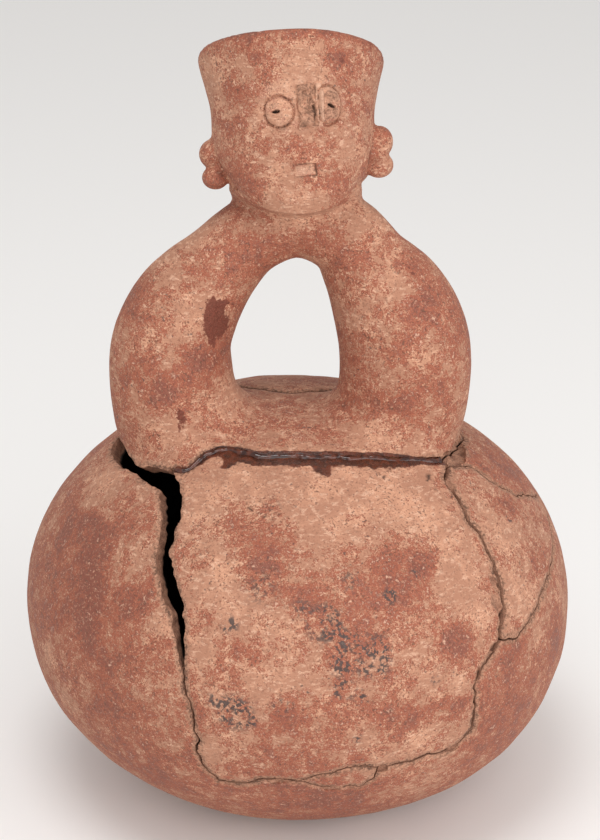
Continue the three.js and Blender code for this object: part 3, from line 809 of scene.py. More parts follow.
blades = []
for number, (name, edges) in enumerate(crack_lips.items()):
    swing, undercut = (GAP_LAYER_SWING, GAP_UNDERCUT) if name == "left_gap" else (LAYER_SWING, 0.0)
    blade = clay_mesh(name + "_blade", *break_through(edges, 200 + number, swing, undercut))
    cut = whole_vessel.modifiers.new(name, "BOOLEAN")
    cut.operation = "DIFFERENCE"
    cut.solver = "MANIFOLD"
    cut.object = blade
    blades.append(blade)
parted = bpy.data.meshes.new_from_object(whole_vessel.evaluated_get(bpy.context.evaluated_depsgraph_get()))
whole_vessel.modifiers.clear()
whole_vessel.data = parted
for blade in blades:
    bpy.data.objects.remove(blade)

parted_points = np.empty(len(parted.vertices) * 3)
parted.vertices.foreach_get("co", parted_points)
parted_points = parted_points.reshape(-1, 3) * 1000
parted.calc_loop_triangles()
parted_triangles = np.empty(len(parted.loop_triangles) * 3, int)
parted.loop_triangles.foreach_get("vertices", parted_triangles)
parted_triangles = parted_triangles.reshape(-1, 3)
bpy.data.objects.remove(whole_vessel)

# Which sherd each point belongs to: the lowest number spreads over all that it is joined to.
sherd_of = np.arange(len(parted_points))
while True:
    lowest = sherd_of[parted_triangles].min(1)
    spread = sherd_of.copy()
    for column in range(3):
        np.minimum.at(spread, parted_triangles[:, column], lowest)
    spread = spread[spread]
    if (spread == sherd_of).all():
        break
    sherd_of = spread

# Clay finish
# Buff-pink earthenware under a thin brick-red slip, burnished in streaks and then worn through in blotches.
# The breaks show brown clay, the hollow is painted dark as shade, shade is painted into the cracks and the
# face's grooves, and dark mineral specks have grown on the front.
BUFF = (0.600, 0.308, 0.194)
BUFF_PALE = (0.730, 0.455, 0.320)
BUFF_DEEP = (0.400, 0.190, 0.118)
SLIP = (0.335, 0.094, 0.051)
SLIP_DEEP = (0.190, 0.050, 0.031)
EARTH_STAIN = (0.150, 0.072, 0.045)
SCAR_RED = (0.13, 0.032, 0.018)
BREAK_BROWN = (0.46, 0.235, 0.150)
BREAK_DEEP = (0.260, 0.120, 0.075)
# Colour of dark seams, scratches and grains in broken clay, and of painted shade in the cracks and the face's
# grooves
DARK_MARK_AND_PAINTED_SHADE = (0.060, 0.028, 0.018)
# Painted shade of the hollow
PAINTED_HOLLOW_SHADE = (0.010, 0.007, 0.005)
MINERAL_DARK = (0.060, 0.048, 0.046)
DIRT = (0.175, 0.085, 0.052)
RESIN_STAIN = (0.110, 0.023, 0.009)
RESIN_DARK = (0.042, 0.010, 0.005)

SLIP_BASE = 0.50
# Blotches of slip on the body: azimuth, elevation, spread in degrees, and how much more or less is left
BODY_BLOTCHES = [
    (-72, 37, 6, -0.26), (-69, 25, 6, 0.24), (-54, 25, 6, 0.24), (-41, 27, 4, -0.30), (-49, 17, 5, 0.24),
    (-29, 16, 3, -0.30), (-37, 18, 4, 0.16), (-44, 8, 7, 0.26), (-61, -1, 3, -0.20), (-57, 8, 4, 0.18),
    (-39, -4, 7, 0.28), (-47, -3, 2, -0.20), (-62, 12, 16, 0.12), (-34, -20, 9, 0.20),
    (-33, 41, 5, -0.32), (-20, 28, 5, -0.32), (-23, 29, 1.5, 0.24), (-19, 40, 3, 0.14), (-8, 35, 5, 0.24),
    (-11, 14, 3, 0.28), (-19, 19, 1.5, 0.26), (-4, 8, 4, -0.22), (2, 24, 6, 0.24), (-19, 12, 3, -0.20),
    (-3, 20, 4, -0.14), (12, 48, 13, -0.36), (-22, 51, 7, -0.22), (35, 49, 7, -0.24), (-14, 22, 5, -0.18),
    (12, 20, 5, 0.16), (24, 25, 7, 0.30), (38, 24, 5, -0.36), (38, 37, 6, -0.36), (32, 28, 4, 0.22),
    (34, 11, 4, 0.28), (9, 9, 3, 0.10), (3, 8, 3, -0.18), (23, -2, 5, 0.26), (33, -3, 3, 0.26),
    (33, 3, 2.5, -0.36), (25, -7, 3, -0.26), (-3, -1, 4, 0.16), (-19, -2, 3, 0.22), (-18, -9, 2.5, -0.28),
    (41, 14, 3, -0.34), (18, -11, 4, -0.14), (1, -22, 14, 0.24), (47, -11, 9, 0.28), (49, 4, 3, 0.22),
    (70, 30, 3, 0.30), (60, 26, 4, -0.26), (65, 18, 2, 0.22), (54, 15, 5, -0.36), (62, 38, 5, -0.10),
    (89, 35, 6, 0.22), (73, 9, 3, -0.16), (67, -2, 4, 0.30), (58, 4, 2.5, -0.26), (0, 88, 24, -0.26),
    (150, 10, 30, 0.14), (-140, -15, 25, 0.16), (120, -20, 18, -0.14), (175, 45, 16, -0.20),
    (-150, 30, 14, -0.18), (110, 25, 9, -0.22), (-115, 5, 9, -0.20), (165, -10, 10, -0.24),
]
# Blotches on the stirrup and the head: across, height and spread in millimetres, and how much
STIRRUP_BLOTCHES = [
    (-33, 186, 8, -0.26), (-43, 178, 6, -0.22), (-12, 183, 10, 0.22), (-30, 176, 6, 0.16),
    (-32, 163, 7, -0.36), (-52, 164, 7, 0.22), (-45, 155, 5, -0.20), (-27, 147, 7, 0.28),
    (-41, 140, 7, 0.24), (-20, 135, 6, -0.22),
    (-42, 127, 6, -0.26), (6, 186, 9, 0.20), (24, 192, 7, -0.22), (17, 178, 5, 0.16), (35, 175, 3.5, 0.26),
    (39, 166, 5, 0.26), (48, 154, 4, 0.26), (30, 172, 5, -0.18), (22, 160, 7, -0.20), (38, 151, 7, -0.20),
    (43, 142, 6, 0.14), (20, 133, 5, 0.18), (34, 135, 7, 0.16), (24, 126, 6, -0.36),
    (-13, 243, 5, 0.26), (-17, 230, 6, 0.20), (-24, 236, 6, -0.22), (12, 240, 3, 0.26), (3, 235, 6, -0.22),
    (-1, 216, 7, 0.20), (11, 216, 6, 0.14), (-15, 205, 5, 0.26), (13, 206, 5, 0.26), (-5, 209, 3, -0.20),
    (1, 206, 4, 0.22), (-18, 201, 4, -0.22), (17, 214, 5, -0.14), (0, 193, 8, -0.34), (-21, 219, 4, 0.12),
    (0, 224, 24, -0.14),
]
LIP_SLIP = 0.30      # how much more slip is left along the lip of the spout
# Dark red stains left by the burn of the slip: across, height, half width, half height and strength
DEEP_STAINS = [
    (-24.5, 161, 3.8, 7.4, 1.0), (-35.6, 131.5, 1.6, 3.8, 0.7), (-50, 171, 1.8, 1.8, 0.4),
    (-14, 246, 2.5, 1.6, 0.3),
    (12.5, 240, 3.4, 1.5, 0.35), (22.6, 242.5, 1.8, 2.2, 0.5), (34.8, 174.5, 1.2, 3.0, 0.5),
    (38.8, 165.5, 2.4, 2.0, 0.35),
]
# Mineral specks: azimuth, elevation, spread in degrees, and how thick they lie
SPECK_CLUSTERS = [
    (-12, 1, 3.4, 0.9), (-15, 3, 2.0, 0.9), (-9, -0.3, 1.3, 1.1), (-14, 18, 1.8, 0.8), (6, 19, 3.8, 0.8),
    (15, 12, 4.0, 0.9), (16.5, 10, 1.6, 1.2), (10, 15, 3.0, 0.7), (9, 11, 2.8, 0.7), (9, 6, 2.4, 0.7),
    (13, 4, 1.8, 0.7), (19, 7, 0.9, 0.9), (28, 5, 0.9, 0.9), (12, -5, 1.0, 0.7), (28, 26, 1.1, 1.0),
    (21, 23, 1.6, 0.8), (12, 27, 3.0, 0.4), (-3, 3, 2.4, 0.5), (1, 22, 3.0, 0.4), (66, 28, 1.0, 0.7),
    (-8, 26, 5, 0.35), (-8, 45, 4, 0.3),
]
# Fine scratches on the front sherd: azimuth and elevation of their ends
SCRATCHES = [
    (-20, 45, -10, 42), (-10, 42, -3, 40), (39, 52, 28, 47), (43, 50, 39, 48), (54, 47, 48, 45),
    (53, 40, 46, 36), (64, 37, 63, 36),
]
SCRATCH_WIDTH = 0.30
CUP_PAINTED_SHADE_BELOW = 0.35      # share of the head's height up to which its inside is painted with the shade of the hollow
RESIN_SPREAD_BELOW = 6.6      # how far the film of glue reaches from its crack, in millimetres
RESIN_SPREAD_ABOVE = 3.2
RESIN_ENDS = (-52, 63)      # azimuths between which the film lies
CRACK_REACH = 9.0      # beyond this distance a crack changes nothing, in millimetres
RESIN_HEIGHTS = np.array(RESIN_CRACK[:2] + RESIN_CRACK[4:]).T
# Where the glue ran down: azimuth, elevation and spread in degrees
RESIN_DRIPS = [(-30, 55.2, 2.2), (10.5, 55.8, 2.4), (12, 54.2, 1.5), (33, 53.8, 1.4)]
# Where brown dirt or broken clay lies beside a crack: azimuth, elevation, spread in degrees, and how thick
DIRT_PATCHES = [
    (46.6, 15.5, 1.6, 0.8), (78, 46.0, 3.6, 0.8), (68.8, 46.3, 2.0, 0.7), (17.6, -13.8, 1.0, 0.8),
    (43.2, 7.3, 1.6, 0.7), (-5, -16.0, 1.4, 0.6), (-19, -12.5, 1.0, 0.6), (33, -12.8, 2.0, 0.6),
    (-76, 43.5, 3.0, 0.5),
]

resin_path, _ = crack_path(RESIN_CRACK, 0.0)
resin_points = on_body(resin_path)


def round_spot(aims, azimuth, elevation, spread):
    """1 in a direction from the body's middle, falling to 0 at about its spread in degrees."""
    turn = np.degrees(np.arccos(np.clip(aims @ direction([[azimuth, elevation]])[0], -1, 1)))
    return np.exp(-((turn / spread) ** 2))


def blotched(points, body_aims):
    """How much slip is left at points, from 0 to 1, before its fine wear."""
    left = np.full(len(points), SLIP_BASE)
    on_the_body = np.clip((SHOULDER_Z + 4 - points[:, 2]) / 10, 0, 1)
    for *place, amount in BODY_BLOTCHES:
        left += on_the_body * amount * round_spot(body_aims, *place)
    in_front = np.clip((18 - points[:, 1]) / 16, 0, 1) * (1 - on_the_body)
    for across, height, spread, amount in STIRRUP_BLOTCHES:
        away = np.hypot(points[:, 0] - across, points[:, 2] - height)
        left += in_front * amount * np.exp(-((away / spread) ** 2))
    below_lip = LIP_RISE - (points - rim_middle) @ rim_axis
    return left + LIP_SLIP * np.exp(-((np.clip(below_lip - 0.8, 0, 99) / 1.6) ** 2)) * (points[:, 2] > 200)


def near_line(points, ends, width):
    """1 on a fine line between two directions on the body, falling to 0 at about its width."""
    start, end = on_body(direction([ends[:2], ends[2:]]))
    share = np.clip((points - start) @ (end - start) / ((end - start) @ (end - start)), 0, 1)
    away = np.linalg.norm(points - start - share[:, None] * (end - start), axis=1)
    away += 0.35 * clay_noise(points, 3.0, 31)
    return np.exp(-((away / width) ** 2))


def clay_values(points):
    """What the clay's finish needs to know at each point, by name."""
    form = form_distance(points)
    aims = points - BODY_MIDDLE
    aims = aims / np.linalg.norm(aims, axis=1)[:, None]
    _, painted_shade_and_dark_lines, pale, scarred = face_marks(points)
    raw = 0.55 * scarred
    on_skin = form > -2.5
    crack = np.full(len(points), CRACK_REACH)
    low = on_skin & (points[:, 2] < CRACKED_BELOW + 2)
    crack[low] = np.minimum(nearest(points[low], lip_points), CRACK_REACH)
    seam = np.exp(-((nearest(points[low], on_body(seam_path, 1.0)) / 0.8) ** 2))
    painted_shade_and_dark_lines[low] = np.maximum(painted_shade_and_dark_lines[low], 0.6 * seam)
    for ends in SCRATCHES:
        painted_shade_and_dark_lines = np.maximum(painted_shade_and_dark_lines, 0.85 * near_line(points, ends, SCRATCH_WIDTH) * on_skin)
    in_front = points[:, 1] < 5
    for across, height, half_width, half_height, strength in DEEP_STAINS:
        away = np.hypot((points[:, 0] - across) / half_width, (points[:, 2] - height) / half_height)
        stained = np.clip(1.5 - away + 0.35 * clay_noise(points, 2.5, 33), 0, 1)
        raw = np.maximum(raw, strength * in_front * stained)
    specks = np.zeros(len(points))
    for *place, amount in SPECK_CLUSTERS:
        specks = np.maximum(specks, amount * round_spot(aims, *place))
    to_resin = np.full(len(points), 99.0)
    to_resin[low] = nearest(points[low], resin_points)
    azimuth = np.degrees(np.arctan2(aims[:, 0], -aims[:, 1]))
    elevation = np.degrees(np.arcsin(np.clip(aims[:, 2], -1, 1)))
    line_height = np.interp(azimuth, *RESIN_HEIGHTS)
    spread = np.where(elevation < line_height, RESIN_SPREAD_BELOW, RESIN_SPREAD_ABOVE)
    spread = spread * (0.35 + 0.65 * np.clip((azimuth + 44) / 10, 0, 1))
    spread = spread * (1 - 0.5 * np.clip((azimuth - 40) / 15, 0, 1))
    resin = np.clip(1 - to_resin / spread, 0, 1) * ((azimuth > RESIN_ENDS[0]) & (azimuth < RESIN_ENDS[1]))
    for drip_azimuth, drip_elevation, drip_spread in RESIN_DRIPS:
        away = np.hypot((azimuth - drip_azimuth) * np.cos(np.radians(elevation)), elevation - drip_elevation)
        resin = np.maximum(resin, 0.55 * np.exp(-((away / drip_spread) ** 2)) * on_skin)
    dirt = 1.2 * scarred
    for *place, amount in DIRT_PATCHES:
        dirt = np.maximum(dirt, amount * round_spot(aims, *place))
    # Depth under the skin: brown broken clay near it, painted shade of the hollow at the inner skin
    depth = np.clip(-outer_skin(points, form), 0, WALL + 1)
    in_cup = points[:, 2] > SPOUT_REGION[3]
    up = head_place(points[in_cup])[0]
    # Inside the spout's cup the painted shade of the hollow fades out towards the lip
    depth[in_cup] *= 1 - np.clip((up - CUP_PAINTED_SHADE_BELOW) / 0.3, 0, 1)
    return {
        "slip_left": blotched(points, aims),
        "depth": depth,
        "dirt": dirt * on_skin,
        "crack": crack,
        "painted_shade_and_dark_lines": painted_shade_and_dark_lines,
        "pale": pale,
        "raw": raw,
        "specks": specks * on_skin,
        "resin": resin,
    }


def feed(tree, socket, source):
    """Give a node's input another node's output, or a value of its own."""
    if isinstance(source, bpy.types.NodeSocket):
        tree.links.new(source, socket)
    else:
        socket.default_value = source


def worn_slip_material(name, slip_more):
    """Worn red slip on buff clay, brown where it broke, with painted shade in the hollow, the cracks and the
    face's grooves, from the points' values.
    """
    material = bpy.data.materials.new(name)
    material.use_nodes = True
    tree = material.node_tree
    tree.nodes.clear()
    links = tree.links
    place = tree.nodes.new("ShaderNodeTexCoord").outputs["Object"]

    def value_of(attribute):
        node = tree.nodes.new("ShaderNodeAttribute")
        node.attribute_name = attribute
        return node.outputs["Fac"]

    def noise(scale, detail=4.0, roughness=0.6, stretch=(1, 1, 1), distortion=0.0):
        mapping = tree.nodes.new("ShaderNodeMapping")
        mapping.inputs["Scale"].default_value = stretch
        links.new(place, mapping.inputs["Vector"])
        node = tree.nodes.new("ShaderNodeTexNoise")
        node.inputs["Scale"].default_value = scale
        node.inputs["Detail"].default_value = detail
        node.inputs["Roughness"].default_value = roughness
        node.inputs["Distortion"].default_value = distortion
        links.new(mapping.outputs["Vector"], node.inputs["Vector"])
        return node.outputs["Fac"]

    def maths(operation, *values):
        node = tree.nodes.new("ShaderNodeMath")
        node.operation = operation
        for number, value in enumerate(values):
            feed(tree, node.inputs[number], value)
        return node.outputs["Value"]

    def swayed(value, *sources):
        for source, weight in sources:
            value = maths("ADD", value, maths("MULTIPLY", maths("SUBTRACT", source, 0.5), weight))
        return value

    def between(value, low, high, start=0.0, end=1.0):
        node = tree.nodes.new("ShaderNodeMapRange")
        node.interpolation_type = "SMOOTHSTEP"
        for socket, number in zip(("From Min", "From Max", "To Min", "To Max"), (low, high, start, end)):
            node.inputs[socket].default_value = number
        links.new(value, node.inputs["Value"])
        return node.outputs["Result"]

    def mixed(share, first, second):
        node = tree.nodes.new("ShaderNodeMix")
        node.data_type = "RGBA"
        for socket, colour in ((node.inputs[6], first), (node.inputs[7], second)):
            feed(tree, socket, (*colour, 1) if isinstance(colour, tuple) else colour)
        feed(tree, node.inputs[0], share)
        return node.outputs[2]

    cloud, patch, blot = noise(38, 3, 0.55), noise(120, 5, 0.62), noise(330, 4, 0.65)
    grain, dust = noise(1100, 3, 0.7), noise(2600, 2, 0.6)
    streaks = noise(70, 5, 0.65, (1.0, 1.0, 5.0), 0.6)
    scrapes = noise(420, 4, 0.65, (1.0, 1.0, 2.8), 0.3)
    pits = noise(1450, 2, 0.5)

    # How much red shows: the blotches of each piece, broken up at every size down to single grains
    shift = swayed(0.0, (cloud, 0.60), (patch, 1.05), (blot, 1.15), (streaks, 0.30), (grain, 1.10),
                   (dust, 0.60))
    level = maths("ADD", maths("ADD", value_of("slip_left"), shift), slip_more)
    crack_mm = value_of("crack")
    worn_lip = between(crack_mm, 0.2, 2.2, 0.20, 0.0)
    level = maths("SUBTRACT", level, worn_lip)
    slip_share = between(level, 0.42, 0.58)
    slip_thick = between(level, 0.60, 0.86)

    bare = mixed(between(patch, 0.38, 0.66), BUFF_DEEP, BUFF)
    bare = mixed(between(scrapes, 0.52, 0.64, 0.0, 0.55), bare, BUFF_PALE)
    bare = mixed(between(scrapes, 0.36, 0.46, 0.50, 0.0), bare, BUFF_DEEP)
    bare = mixed(between(dust, 0.50, 0.64, 0.0, 0.55), bare, BUFF_DEEP)
    red = mixed(slip_thick, SLIP, SLIP_DEEP)
    red = mixed(between(grain, 0.54, 0.64, 0.0, 0.55), red, BUFF)
    red = mixed(between(dust, 0.50, 0.64, 0.0, 0.55), red, SLIP_DEEP)
    colour = mixed(maths("MULTIPLY", slip_share, 0.92), bare, red)
    lime = maths("MULTIPLY", between(blot, 0.58, 0.68), between(grain, 0.48, 0.60))
    colour = mixed(maths("MULTIPLY", lime, 0.60), colour, BUFF_PALE)
    pitted = maths("MULTIPLY", between(pits, 0.60, 0.66), between(patch, 0.40, 0.60, 0.35, 0.95))
    colour = mixed(maths("MULTIPLY", pitted, 0.75), colour, EARTH_STAIN)

    # Marks: pale worn rings, raw scars, painted shade along the cracks and in the face's grooves, dark seams
    # and scratches, each broken up by the same grains, with dirt beside the cracks, mineral specks and glue
    def broken_up(value, blot_weight, grain_weight, low, high):
        return between(swayed(value, (blot, blot_weight), (grain, grain_weight)), low, high)

    pale_share = broken_up(value_of("pale"), 0.9, 0.7, 0.18, 0.75)
    colour = mixed(maths("MULTIPLY", pale_share, 0.60), colour, BUFF_PALE)
    raw_share = broken_up(value_of("raw"), 1.3, 1.0, 0.38, 0.56)
    raw_red = mixed(between(dust, 0.45, 0.6), SCAR_RED, SLIP_DEEP)
    colour = mixed(maths("MULTIPLY", raw_share, 0.94), colour, raw_red)
    lip_level = swayed(crack_mm, (patch, 2.4), (grain, 1.6))
    dirt_share = between(lip_level, 0.45, 1.9, 0.90, 0.0)
    patched = maths("MULTIPLY", broken_up(value_of("dirt"), 0.8, 0.5, 0.28, 0.45), 0.85)
    dirt_share = maths("MAXIMUM", dirt_share, patched)
    colour = mixed(dirt_share, colour, mixed(between(grain, 0.40, 0.60), DIRT, BREAK_BROWN))
    # Painted shade along the edges of the cracks, darkest right at the lip
    colour = mixed(between(lip_level, -0.1, 0.75, 0.80, 0.0), colour, DARK_MARK_AND_PAINTED_SHADE)
    dot = between(noise(820, 2, 0.5, (1, 1, 1), 0.3), 0.46, 0.53)
    clump = between(noise(260, 3, 0.6), 0.40, 0.52)
    speck_share = maths("MULTIPLY", maths("MULTIPLY", dot, clump), between(value_of("specks"), 0.08, 0.50))
    stray = maths("MULTIPLY", between(noise(760, 1, 0.4), 0.72, 0.75), between(cloud, 0.48, 0.62, 0.10, 0.65))
    colour = mixed(maths("MAXIMUM", maths("MULTIPLY", speck_share, 0.88), stray), colour, MINERAL_DARK)
    # Painted shade in the face's grooves, slits, pits and under the jaw, with the dark seam and scratches
    colour = mixed(broken_up(value_of("painted_shade_and_dark_lines"), 0.5, 0.4, 0.10, 0.95), colour, DARK_MARK_AND_PAINTED_SHADE)
    resin_share = broken_up(value_of("resin"), 0.55, 0.15, 0.24, 0.36)
    film = mixed(between(blot, 0.42, 0.60), RESIN_DARK, RESIN_STAIN)
    colour = mixed(maths("MULTIPLY", resin_share, 0.95), colour, film)

    # Under the skin: brown broken clay, then painted shade of the hollow
    depth_mm = value_of("depth")
    broken = mixed(between(blot, 0.35, 0.65), BREAK_DEEP, BREAK_BROWN)
    broken = mixed(between(grain, 0.52, 0.64, 0.0, 0.6), broken, BUFF_DEEP)
    broken = mixed(between(dust, 0.52, 0.64, 0.0, 0.5), broken, DARK_MARK_AND_PAINTED_SHADE)
    colour = mixed(between(depth_mm, 0.35, 0.75), colour, broken)
    # Painted shade: the inner skin and the deep part of the breaks go almost black
    colour = mixed(between(depth_mm, WALL - 1.2, WALL - 0.2), colour, PAINTED_HOLLOW_SHADE)

    rough = swayed(between(slip_thick, 0.0, 1.0, 0.80, 0.58), (grain, 0.25))
    gloss = between(resin_share, 0.0, 1.0, 0.0, 1.0)
    rough = maths("MAXIMUM", maths("SUBTRACT", rough, maths("MULTIPLY", gloss, 0.52)), 0.14)

    height = maths("MULTIPLY", grain, 0.45)
    for source, weight in ((blot, 0.55), (scrapes, 0.40), (slip_share, 0.16)):
        height = maths("ADD", height, maths("MULTIPLY", source, weight))
    height = maths("SUBTRACT", height, maths("MULTIPLY", pitted, 0.45))
    bump = tree.nodes.new("ShaderNodeBump")
    bump.inputs["Strength"].default_value = 0.70
    bump.inputs["Distance"].default_value = 0.0008
    links.new(height, bump.inputs["Height"])

    shader = tree.nodes.new("ShaderNodeBsdfPrincipled")
    links.new(colour, shader.inputs["Base Color"])
    links.new(rough, shader.inputs["Roughness"])
    links.new(bump.outputs["Normal"], shader.inputs["Normal"])
    shader.inputs["Specular IOR Level"].default_value = 0.35
    output = tree.nodes.new("ShaderNodeOutputMaterial")
    links.new(shader.outputs["BSDF"], output.inputs["Surface"])
    return material


def sherd_at(spot):
    """The number of the sherd whose skin is nearest to a spot of azimuth and elevation."""
    place = on_body(direction([spot]))[0]
    return sherd_of[np.argmin(((parted_points - place) ** 2).sum(1))]


def finish_sherd(name, spot, material):
    """One sherd as a piece of its own, with its values, finish and place in the model."""
    mine = sherd_of == sherd_at(spot)
    number = np.cumsum(mine) - 1
    points = parted_points[mine]
    triangles = number[parted_triangles[mine[parted_triangles[:, 0]]]]
    piece = clay_mesh(name, points, triangles)
    for value_name, values in clay_values(points).items():
        layer = piece.data.attributes.new(value_name, "FLOAT", "POINT")
        layer.data.foreach_set("value", values.astype(np.float32))
    piece.data.shade_smooth()
    piece.data.set_sharp_from_angle(angle=math.radians(42))
    piece.data.materials.append(material)
    return piece


# Vessel body
# What is still whole of the coiled wall: both sides, the back, the belly and the underside.
# It is the reddest piece, with the slip burnished round it in streaks.
body_clay = worn_slip_material("burnished_red_slip", 0.05)
vessel_body = finish_sherd("vessel_body_clay", (180, 0), body_clay)
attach(vessel_body, "root")
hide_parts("vessel_body")

# Stirrup and head spout
# The stirrup with its head-shaped spout, still joined to the plate of shoulder that broke away below
# its legs. The slip is rubbed thin here, so the buff clay shows through.
stirrup_clay = worn_slip_material("rubbed_red_slip", 0.03)
stirrup_and_head = finish_sherd("stirrup_and_head_clay", (0, 75), stirrup_clay)
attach(stirrup_and_head, "root")
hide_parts("stirrup_and_head_spout")

# Front wall sherd
# The big sherd of the front, set back in its place. It lost most of its slip in the ground, and dark
# mineral specks have grown on it.
front_clay = worn_slip_material("ground_worn_slip", -0.03)
front_sherd = finish_sherd("front_sherd_clay", (10, 20), front_clay)
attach(front_sherd, "root")
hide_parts("front_wall_sherd")

# Right shoulder sherd
# The pointed sherd between the two cracks of the right shoulder, held by glue along its edges.
shoulder_sherd = finish_sherd("shoulder_sherd_clay", (65, 25), front_clay)
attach(shoulder_sherd, "root")
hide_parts("right_shoulder_sherd")

# Lower front chip
# The small lens-shaped sherd wedged into the crack below the front sherd.
front_chip = finish_sherd("front_chip_clay", (10, -15.6), front_clay)
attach(front_chip, "root")
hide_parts("lower_front_chip")

# Resin bead
# Glossy dark red-brown glue, run along the crack below the stirrup. It sags in the crack, thick in some
# places and thin in others, and stands in small drops along the lower lip.
BEAD_RADIUS = 0.00088
BEAD_SWELL = 0.0010
BEAD_SINK = 0.80
DROP_RADIUS = 0.0008
DROP_SPACING = 0.0042
BEAD_SEED = 12
BEAD_STEP = 0.0007
BEAD_SIDES = 12
BEAD_NOISE = {"Scale": 210, "Detail": 2}
BEAD_MIDDLE = 0.45      # value of the noise at which the bead is neither swollen nor shrunk
BEAD_SWELL_GAIN = 3.0      # the noise stays near its middle, so its swell is made larger
DROP_NUDGE = ((-0.0012, -0.0004, -0.0009), (0.0012, 0.0002, 0.0001))
DROP_SIZES = (0.35, 1.0)
RESIN = (0.032, 0.009, 0.006)
RESIN_THIN = (0.11, 0.030, 0.016)


def resin_material():
    """Dark red-brown glue with a hard gloss and slightly uneven skin."""
    material = bpy.data.materials.new("dark_red_glue")
    material.use_nodes = True
    tree = material.node_tree
    shader = tree.nodes["Principled BSDF"]
    place = tree.nodes.new("ShaderNodeTexCoord")
    thick = tree.nodes.new("ShaderNodeTexNoise")
    thick.inputs["Scale"].default_value = 420
    thick.inputs["Detail"].default_value = 1
    tint = tree.nodes.new("ShaderNodeValToRGB")
    tint.color_ramp.elements[0].position = 0.40
    tint.color_ramp.elements[0].color = (*RESIN, 1)
    tint.color_ramp.elements[1].position = 0.68
    tint.color_ramp.elements[1].color = (*RESIN_THIN, 1)
    ripple = tree.nodes.new("ShaderNodeBump")
    ripple.inputs["Strength"].default_value = 0.6
    ripple.inputs["Distance"].default_value = 0.0009
    tree.links.new(place.outputs["Object"], thick.inputs["Vector"])
    tree.links.new(thick.outputs["Fac"], tint.inputs["Fac"])
    tree.links.new(thick.outputs["Fac"], ripple.inputs["Height"])
    tree.links.new(tint.outputs["Color"], shader.inputs["Base Color"])
    tree.links.new(ripple.outputs["Normal"], shader.inputs["Normal"])
    shader.inputs["Roughness"].default_value = 0.10
    shader.inputs["Specular IOR Level"].default_value = 0.50
    shader.inputs["Coat Roughness"].default_value = 0.05
    return material


def bead_tree(material):
    """Geometry nodes that sweep a bead of glue along a line and set drops along it."""
    tree = bpy.data.node_groups.new("glue_bead", "GeometryNodeTree")
    face = tree.interface
    face.new_socket("Geometry", in_out="INPUT", socket_type="NodeSocketGeometry")
    for name, kind in (("Bead radius", "NodeSocketFloat"), ("Bead swell", "NodeSocketFloat"),
                       ("Drop radius", "NodeSocketFloat"), ("Drop spacing", "NodeSocketFloat"),
                       ("Seed", "NodeSocketInt")):
        face.new_socket(name, in_out="INPUT", socket_type=kind)
    face.new_socket("Geometry", in_out="OUTPUT", socket_type="NodeSocketGeometry")

    def node(kind, inputs, **settings):
        made = tree.nodes.new(kind)
        for name, setting in settings.items():
            setattr(made, name, setting)
        for socket, source in inputs.items():
            feed(tree, made.inputs[socket], source)
        return made.outputs

    given = node("NodeGroupInput", {})
    line = node("GeometryNodeMeshToCurve", {"Mesh": given["Geometry"]})
    fine = node("GeometryNodeResampleCurve", {"Length": BEAD_STEP, "Curve": line["Curve"]}, mode="LENGTH")
    section = node("GeometryNodeCurvePrimitiveCircle", {
        "Resolution": BEAD_SIDES, "Radius": given["Bead radius"]})
    bead = node("GeometryNodeCurveToMesh", {
        "Fill Caps": True, "Curve": fine["Curve"], "Profile Curve": section["Curve"]})
    uneven = node("ShaderNodeTexNoise", {**BEAD_NOISE, "W": given["Seed"]}, noise_dimensions="4D")
    centred = node("ShaderNodeMath", {0: uneven["Fac"], 1: BEAD_MIDDLE}, operation="SUBTRACT")
    swell = node("ShaderNodeMath", {0: centred["Value"], 1: given["Bead swell"]}, operation="MULTIPLY")
    swell = node("ShaderNodeMath", {0: swell["Value"], 1: BEAD_SWELL_GAIN}, operation="MULTIPLY")
    outward = node("GeometryNodeInputNormal", {})
    push = node("ShaderNodeVectorMath", {0: outward["Normal"], "Scale": swell["Value"]}, operation="SCALE")
    swollen = node("GeometryNodeSetPosition", {"Geometry": bead["Mesh"], "Offset": push["Vector"]})

    spots = node("GeometryNodeCurveToPoints", {
        "Curve": line["Curve"], "Length": given["Drop spacing"]}, mode="LENGTH")
    nudge = node("FunctionNodeRandomValue", {
        0: DROP_NUDGE[0], 1: DROP_NUDGE[1], "Seed": given["Seed"]}, data_type="FLOAT_VECTOR")
    strewn = node("GeometryNodeSetPosition", {"Geometry": spots["Points"], "Offset": nudge[0]})
    size = node("FunctionNodeRandomValue", {
        2: DROP_SIZES[0], 3: DROP_SIZES[1], "Seed": given["Seed"]}, data_type="FLOAT")
    drop = node("GeometryNodeMeshIcoSphere", {"Subdivisions": 3, "Radius": given["Drop radius"]})
    drops = node("GeometryNodeInstanceOnPoints", {
        "Points": strewn["Geometry"], "Instance": drop["Mesh"], "Scale": size[1]})
    both = tree.nodes.new("GeometryNodeJoinGeometry")
    for part in (drops["Instances"], swollen["Geometry"]):
        tree.links.new(part, both.inputs["Geometry"])
    real = node("GeometryNodeRealizeInstances", {"Geometry": both.outputs["Geometry"]})
    coated = node("GeometryNodeSetMaterial", {"Material": material, "Geometry": real["Geometry"]})
    node("NodeGroupOutput", {"Geometry": coated["Geometry"]})
    return tree


